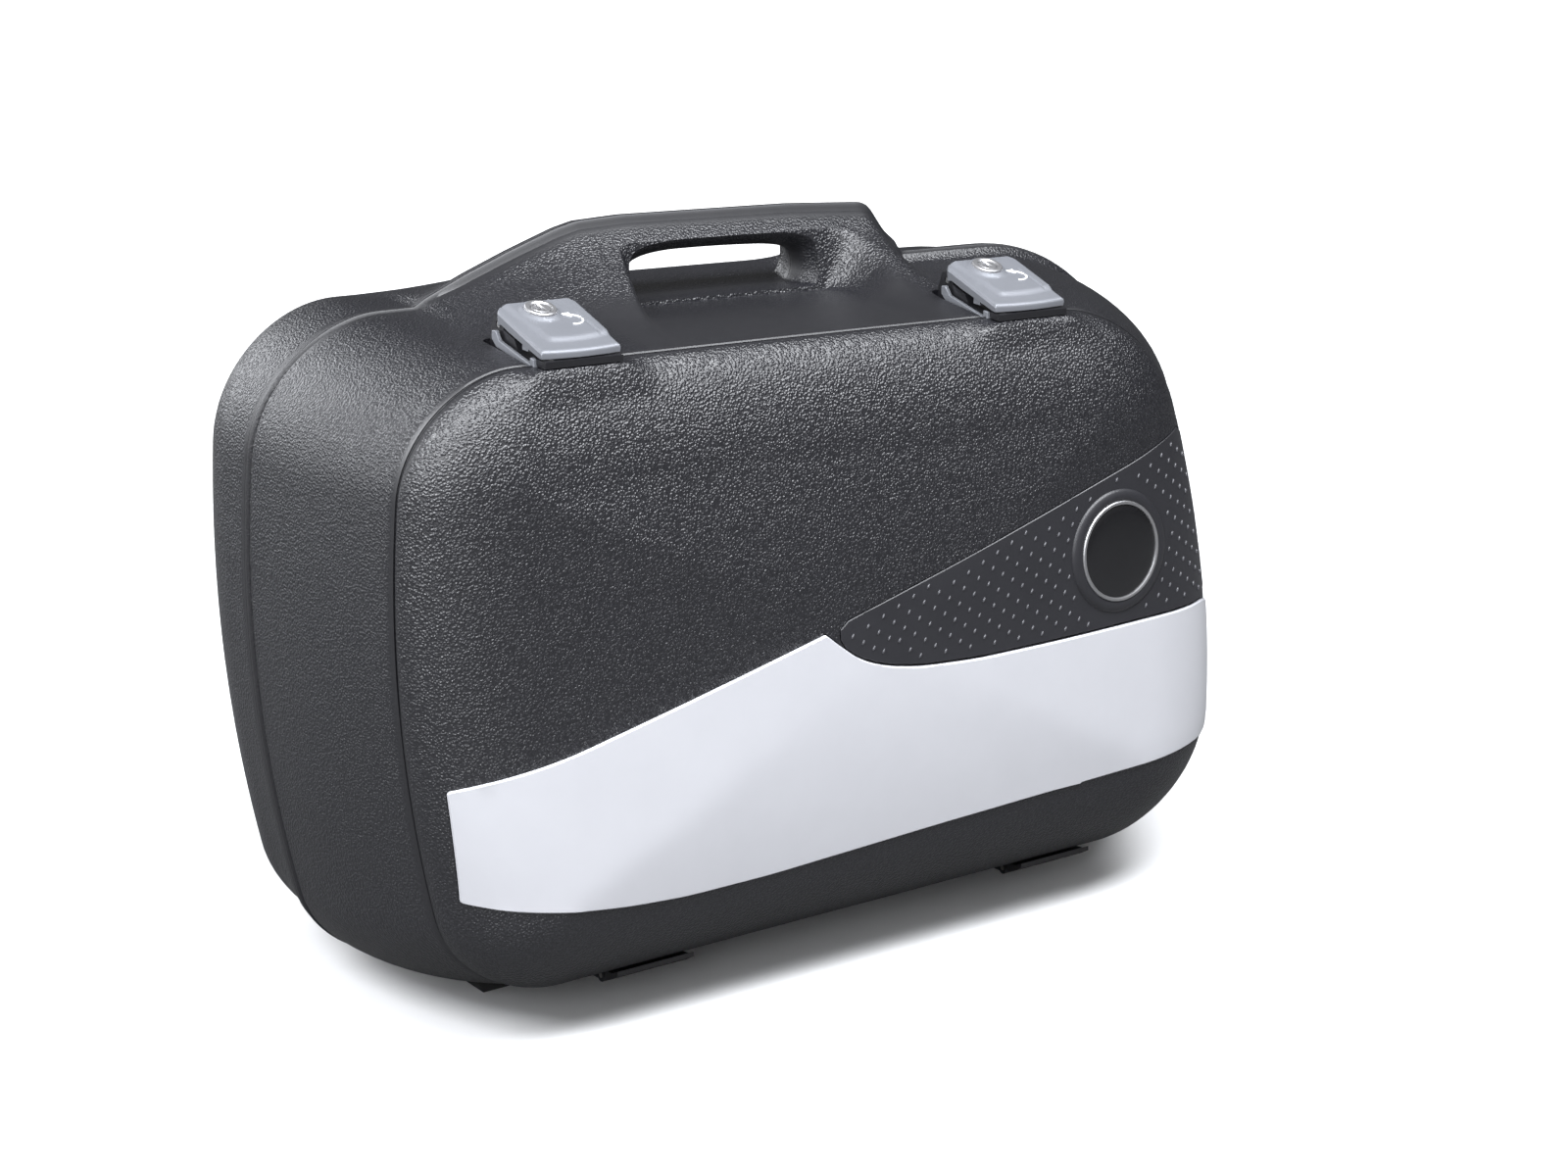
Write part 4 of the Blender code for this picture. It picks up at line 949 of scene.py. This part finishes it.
def cover_bm():
    """The lock's cover: a rounded plate with a raised middle, a key collar and a thick front."""
    columns, rows = 60, 72
    s = np.linspace(-1, 1, columns)
    s = np.sign(s) * np.abs(s) ** 0.8
    t = np.linspace(0, 1, rows)
    t = 0.5 - 0.5 * np.cos(math.pi * t) * 0.9 - 0.05 * (1 - 2 * t)
    top, bottom = [], []
    for share in t:
        for across in s:
            y = COVER_REAR + share * (COVER_FRONT - COVER_REAR)
            narrow = 7.0 * max(0.0, (y + 34) / 8.4) ** 1.6
            half = COVER_HALF - narrow
            x = across * half
            y = y + 1.6 * share * (across**2)
            border = min((1 - abs(across)) * half, share * 50.8, (1 - share) * 50.8)
            radius = 2.0
            dip = 0.0
            if border < radius:
                dip = radius - math.sqrt(max(0.0, radius**2 - (radius - border) ** 2))
            z = float(cover_line(y)) - dip * 0.8
            left = float(smoothstep(-15.5, -12.0, x + 0.12 * (y + 50)))
            front = float(smoothstep(-69.0, -65.0, y - 3.0 * (x / 21.5) ** 2))
            z += 1.5 * left * front - 1.2
            groove = float(smoothstep(0.9, 0.2, abs(x - 15.2 + 0.05 * (y + 50))))
            z -= 0.7 * groove * float(smoothstep(-66, -63, y) * (1 - smoothstep(-46, -43, y)))
            key = math.hypot(x - KEY_SPOT[0], y - KEY_SPOT[1])
            z += 1.5 * float(smoothstep(10.5, 8.6, key)) * (0.4 + 0.6 * left)
            low = float(np.interp(y, [-76.5, -72, -45, -36, -25], [6.9, 7.3, 13.6, 16.2, 12.8]))
            top.append((x, y, z))
            bottom.append((x * 0.985, y * 0.998 - 0.1, min(low, z - 1.2)))
    bm = bmesh.new()
    upper = [bm.verts.new(Vector(p) * MM) for p in top]
    lower = [bm.verts.new(Vector(p) * MM) for p in bottom]
    for r in range(rows - 1):
        for c in range(columns - 1):
            a = r * columns + c
            corners = (a, a + 1, a + columns + 1, a + columns)
            bm.faces.new([upper[i] for i in corners])
            bm.faces.new([lower[i] for i in reversed(corners)])
    edge = list(range(columns))
    edge += [r * columns + columns - 1 for r in range(1, rows)]
    edge += [(rows - 1) * columns + c for c in range(columns - 2, -1, -1)]
    edge += [r * columns for r in range(rows - 2, 0, -1)]
    for i, a in enumerate(edge):
        b = edge[(i + 1) % len(edge)]
        bm.faces.new((upper[a], upper[b], lower[b], lower[a]))
    bmesh.ops.recalc_face_normals(bm, faces=bm.faces[:])
    return bm


def across_bm(profile, low, high):
    """A solid with a (y, z) side profile between two places across the lock."""
    return loft([[(x, y, z) for y, z in profile] for x in (low, high)])


def join(target, *others):
    """Adds the faces of other meshes to the first."""
    for other in others:
        mesh = bpy.data.meshes.new("joined")
        other.to_mesh(mesh)
        other.free()
        target.from_mesh(mesh)
        bpy.data.meshes.remove(mesh)
    return target


def cover_spot(x, y):
    return Vector((x, y, float(cover_line(y)))) * MM


def arrow_bm():
    """A thin printed arrow that curls round beside the key."""
    start, end = (Vector((0, *LEVER_TOP[i])) for i in (0, 1))
    slope = (end - start).normalized()
    centre = (9.0, -51.0)
    left, right = [], []
    for a in np.radians(np.linspace(75, -115, 20)):
        direction = (math.cos(a), math.sin(a))
        for side, radius in ((left, 4.6), (right, 5.5)):
            side.append((centre[0] + direction[0] * radius, centre[1] + direction[1] * radius * 0.9))
    bm = bmesh.new()

    def vert(point, up):
        spot = cover_spot(*point) + Vector((0, -slope.z, slope.y)) * -up * MM
        return bm.verts.new(spot)

    for i in range(len(left) - 1):
        quad = (left[i], right[i], right[i + 1], left[i + 1])
        low = [vert(p, 0.0) for p in quad]
        high = [vert(p, 0.7) for p in quad]
        bm.faces.new(high)
        bm.faces.new(low[::-1])
        for k in range(4):
            bm.faces.new((high[k], high[k - 1], low[k - 1], low[k]))
    tip = (centre[0] - 3.0, centre[1] + 6.0)
    base = [(centre[0] + 1.6, centre[1] + 6.6), (centre[0] + 1.0, centre[1] + 2.4), tip]
    low = [vert(p, 0.0) for p in base]
    high = [vert(p, 0.7) for p in base]
    bm.faces.new(high)
    bm.faces.new(low[::-1])
    for k in range(3):
        bm.faces.new((high[k], high[k - 1], low[k - 1], low[k]))
    bmesh.ops.remove_doubles(bm, verts=bm.verts, dist=0.00001)
    bmesh.ops.recalc_face_normals(bm, faces=bm.faces[:])
    return bm


LUG = [(-26.8, 12.4), (-33, 12.4), (-33.4, 20), (-27.2, 20)]
EYE = [(-53.5, 7.6), (-53.5, 16), (-59, 14.6), (-59, 7.6)]
ARM = [
    (-29.5, 12.5), (-33.0, 13.0), (-36.5, 8.8), (-66.0, 3.4), (-66.0, 6.6), (-69.4, 6.2),
    (-70.2, 1.2), (-66.0, 0.9), (-34.0, 5.2), (-29.5, 8.5),
]


KEY_BEZEL = [
    (5.0, -3.0), (8.6, -3.0), (8.6, 0.9), (8.1, 1.3), (7.9, 2.6), (7.4, 3.1), (5.8, 3.2), (5.3, 2.7),
    (5.0, 2.5),
]
KEY_FACE = [(0.0, -3.0), (4.75, -3.0), (4.75, 2.4), (4.4, 2.8), (0.0, 2.9)]


def key_matrix(place):
    start, end = (Vector((0, *LEVER_TOP[i])) for i in (0, 1))
    slope = (end - start).normalized()
    normal = Vector((0, slope.z, -slope.y))
    normal = normal if normal.z > 0 else -normal
    spot = cover_spot(*KEY_SPOT)
    return place @ Matrix.Translation(spot) @ normal.to_track_quat("Z", "Y").to_matrix().to_4x4()


def make_key(side, place):
    place = key_matrix(place)
    bezel = add_mesh(f"latch_{side}_bezel", turned(KEY_BEZEL), place)
    finish_piece(bezel, f"{side}_lever", CHROME, [f"latch_{side}_key_bezel"])
    face = add_mesh(f"latch_{side}_key_face", turned(KEY_FACE, 48), place)
    slot = block((-0.6, -3.0, 1.4), (0.6, 3.0, 6.0))
    cut(face, add_mesh("slot", slot, place))
    finish_piece(face, f"{side}_key", CHROME)


def make_lock(side):
    place = lock_matrix(side)
    body = f"{side}_lever"
    make_key(side, place)
    inner = [across_bm(LUG, -14.4, 14.4), across_bm(EYE, 14.5, 19.4), across_bm(EYE, -19.4, -14.5)]
    cover = add_mesh(f"latch_{side}_cover", join(cover_bm(), *inner), place, 30)
    finish_piece(cover, body, LOCK, [f"latch_{side}_lever"])
    for name, low, high in (("near", -22.6, -20.4), ("far", 20.4, 22.6)):
        arm = add_mesh(f"latch_{side}_arm_{name}", across_bm(ARM, low, high), place)
        soften(arm, 0.5)
        finish_piece(arm, body, LOCK, [f"latch_{side}_lever"])
    arrow = add_mesh(f"latch_{side}_arrow", arrow_bm(), place)
    finish_piece(arrow, body, PRINT, [])


# CAD nodes that stay ------------------------------------------------------------------------

KEPT = [
    ("latch_*_base", SMOOTH, 0.5), ("latch_*_catch", SMOOTH, 0.35), ("latch_*_hook", STEEL, 0.3),
    ("latch_*_hook_pin", STEEL, 0.15), ("latch_*_lever_pin", STEEL, 0.2),
    ("latch_*_key_bezel", CHROME, 0.25), ("latch_*_key_cylinder", CHROME, 0.15),
    ("latch_*_lock_tongue", STEEL, 0.3), ("hinge_*_base_leaf", PAINTED, 0.3),
    ("hinge_*_lid_leaf", PAINTED, 0.3), ("hinge_*_pin", STEEL, 0.2), ("foot_*", RUBBER, 1.0),
    ("mounting_bar_*", PAINTED, 0.4), ("bar_rivet_*", DARK_STEEL, 0.2), ("luggage_strap_*", WEBBING, 0.3),
    ("strap_buckle_*", SMOOTH, 0.8), ("lid_seal", RUBBER, 0.6),
]


def matches(name, pattern):
    start, _, end = pattern.partition("*")
    return name.startswith(start) and name.endswith(end) and len(name) >= len(start + end)


def dress_nodes():
    """Gives each CAD node that still shows its material, and rounds its edges."""
    for name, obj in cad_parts.items():
        if obj.hide_render:
            continue
        found = [row for row in KEPT if matches(name, row[0])]
        if not found:
            continue
        _, material, width = found[0]
        if not obj.material_slots:
            obj.data.materials.append(material)
        for item in obj.material_slots:
            item.material = material
        soften(obj, width)


# Stage --------------------------------------------------------------------------------------


WORLD_LOW = 0.07
WORLD_HIGH = 0.65
KEY_DIRECTION = (-0.48, -0.42, 0.77)
FLOOR_SEEN = 0.82
FLOOR_BOUNCE = 0.13


def stage_material():
    """A pale floor that runs into the background, and that reflects less than it shows."""
    g = Graph("pale_floor")
    seen = g.add("ShaderNodeLightPath").outputs["Is Camera Ray"]
    shade = g.math("ADD", g.spread(seen, FLOOR_BOUNCE, FLOOR_SEEN), g.spread(g.noise(2.0), -0.01, 0.01))
    g.link(shade, g.shader.inputs["Base Color"])
    g.shader.inputs["Roughness"].default_value = 0.8
    g.shader.inputs["Specular IOR Level"].default_value = 0.2
    away = g.add("ShaderNodeVectorMath", {0: g.place}, operation="LENGTH").outputs["Value"]
    fade = g.add("ShaderNodeMapRange", {0: away, 1: 0.5, 2: 2.2}, interpolation_type="SMOOTHSTEP")
    g.shader.inputs["Emission Color"].default_value = (1, 1, 1, 1)
    g.link(g.math("MULTIPLY", fade.outputs[0], seen), g.shader.inputs["Emission Strength"])
    return g.material


def make_stage():
    mesh = bpy.data.meshes.new("floor")
    bm = bmesh.new()
    bmesh.ops.create_grid(bm, x_segments=4, y_segments=4, size=14.0)
    bmesh.ops.translate(bm, vec=(0, 0, -0.0004), verts=bm.verts)
    bm.to_mesh(mesh)
    bm.free()
    floor = bpy.data.objects.new("floor", mesh)
    mesh.materials.append(stage_material())
    bpy.context.scene.collection.objects.link(floor)
    make_world()


def make_world():
    """White behind the case, and light that is bright towards one upper corner."""
    world = bpy.data.worlds.new("studio")
    bpy.context.scene.world = world
    bpy.context.scene.view_settings.view_transform = "Standard"
    world.use_nodes = True
    nodes, links = world.node_tree.nodes, world.node_tree.links
    place = nodes.new("ShaderNodeTexCoord")
    towards = nodes.new("ShaderNodeVectorMath")
    towards.operation = "DOT_PRODUCT"
    links.new(place.outputs["Generated"], towards.inputs[0])
    towards.inputs[1].default_value = KEY_DIRECTION
    height = nodes.new("ShaderNodeMapRange")
    height.interpolation_type = "SMOOTHSTEP"
    links.new(towards.outputs["Value"], height.inputs[0])
    for index, value in ((1, -0.3), (2, 1.0), (3, WORLD_LOW), (4, WORLD_HIGH)):
        height.inputs[index].default_value = value
    seen = nodes.new("ShaderNodeLightPath")
    strength = nodes.new("ShaderNodeMix")
    links.new(seen.outputs["Is Camera Ray"], strength.inputs[0])
    links.new(height.outputs[0], strength.inputs[2])
    strength.inputs[3].default_value = 1.0
    links.new(strength.outputs[0], nodes["Background"].inputs["Strength"])
    nodes["Background"].inputs["Color"].default_value = (1, 1, 1, 1)


def light(name, place, size, power):
    lamp = bpy.data.lights.new(name, "AREA")
    lamp.shape = "RECTANGLE"
    lamp.size, lamp.size_y = size
    lamp.energy = power
    lamp.color = (0.94, 0.96, 1.0)
    made = bpy.data.objects.new(name, lamp)
    made.location = place
    aim = Vector((0, 0, 0.18)) - Vector(place)
    made.rotation_euler = aim.to_track_quat("-Z", "Y").to_euler()
    bpy.context.scene.collection.objects.link(made)


AIM_SHIFT = (0.012, 0.0, -0.012)


def make_camera():
    """The camera: its place, turned right by yaw, down by pitch and rolled."""
    yaw, pitch, roll = (math.radians(a) for a in (28.43, 17.08, -2.415))
    forward = Vector(
        (math.sin(yaw) * math.cos(pitch), math.cos(yaw) * math.cos(pitch), -math.sin(pitch))
    )
    right = Vector((math.cos(yaw), -math.sin(yaw), 0))
    up = right.cross(forward)
    rolled_up = up * math.cos(roll) - right * math.sin(roll)
    location = Vector((-1.0263, -1.5991, 0.7745)) + ORIGIN
    low, high = CAD_BOX
    forward = ((low + high) / 2 + Vector(AIM_SHIFT) - location).normalized()
    right = forward.cross(rolled_up).normalized()
    turn = Matrix((right, right.cross(forward), -forward)).transposed().to_4x4()
    camera = bpy.data.cameras.new("camera")
    camera.lens = 89.0
    camera.sensor_width = 36.0
    made = bpy.data.objects.new("camera", camera)
    made.matrix_world = Matrix.Translation(location) @ turn
    bpy.context.scene.collection.objects.link(made)
    bpy.context.scene.camera = made


def build():
    lid_face = lid_bm(inner=False)
    face = BVHTree.FromBMesh(lid_face)
    lid_face.free()
    make_centre()
    make_back_wall()
    make_back_floor()
    make_lid(face)
    make_trim(face)
    for side in LOCKS:
        make_lock(side)
    dress_nodes()
    make_stage()
    light("overhead", (0.3, -0.8, 1.7), (2.0, 0.7), 66)
    light("upper_left", (-1.35, -0.5, 1.45), (0.8, 0.8), 40)
    light("front", (-1.7, -1.9, 1.0), (0.9, 0.9), 14)
    light("left_rear", (-1.6, 0.9, 0.55), (0.6, 0.8), 6)
    light("rear", (-0.7, 2.1, 1.0), (1.4, 1.2), 26)
    make_camera()


build()
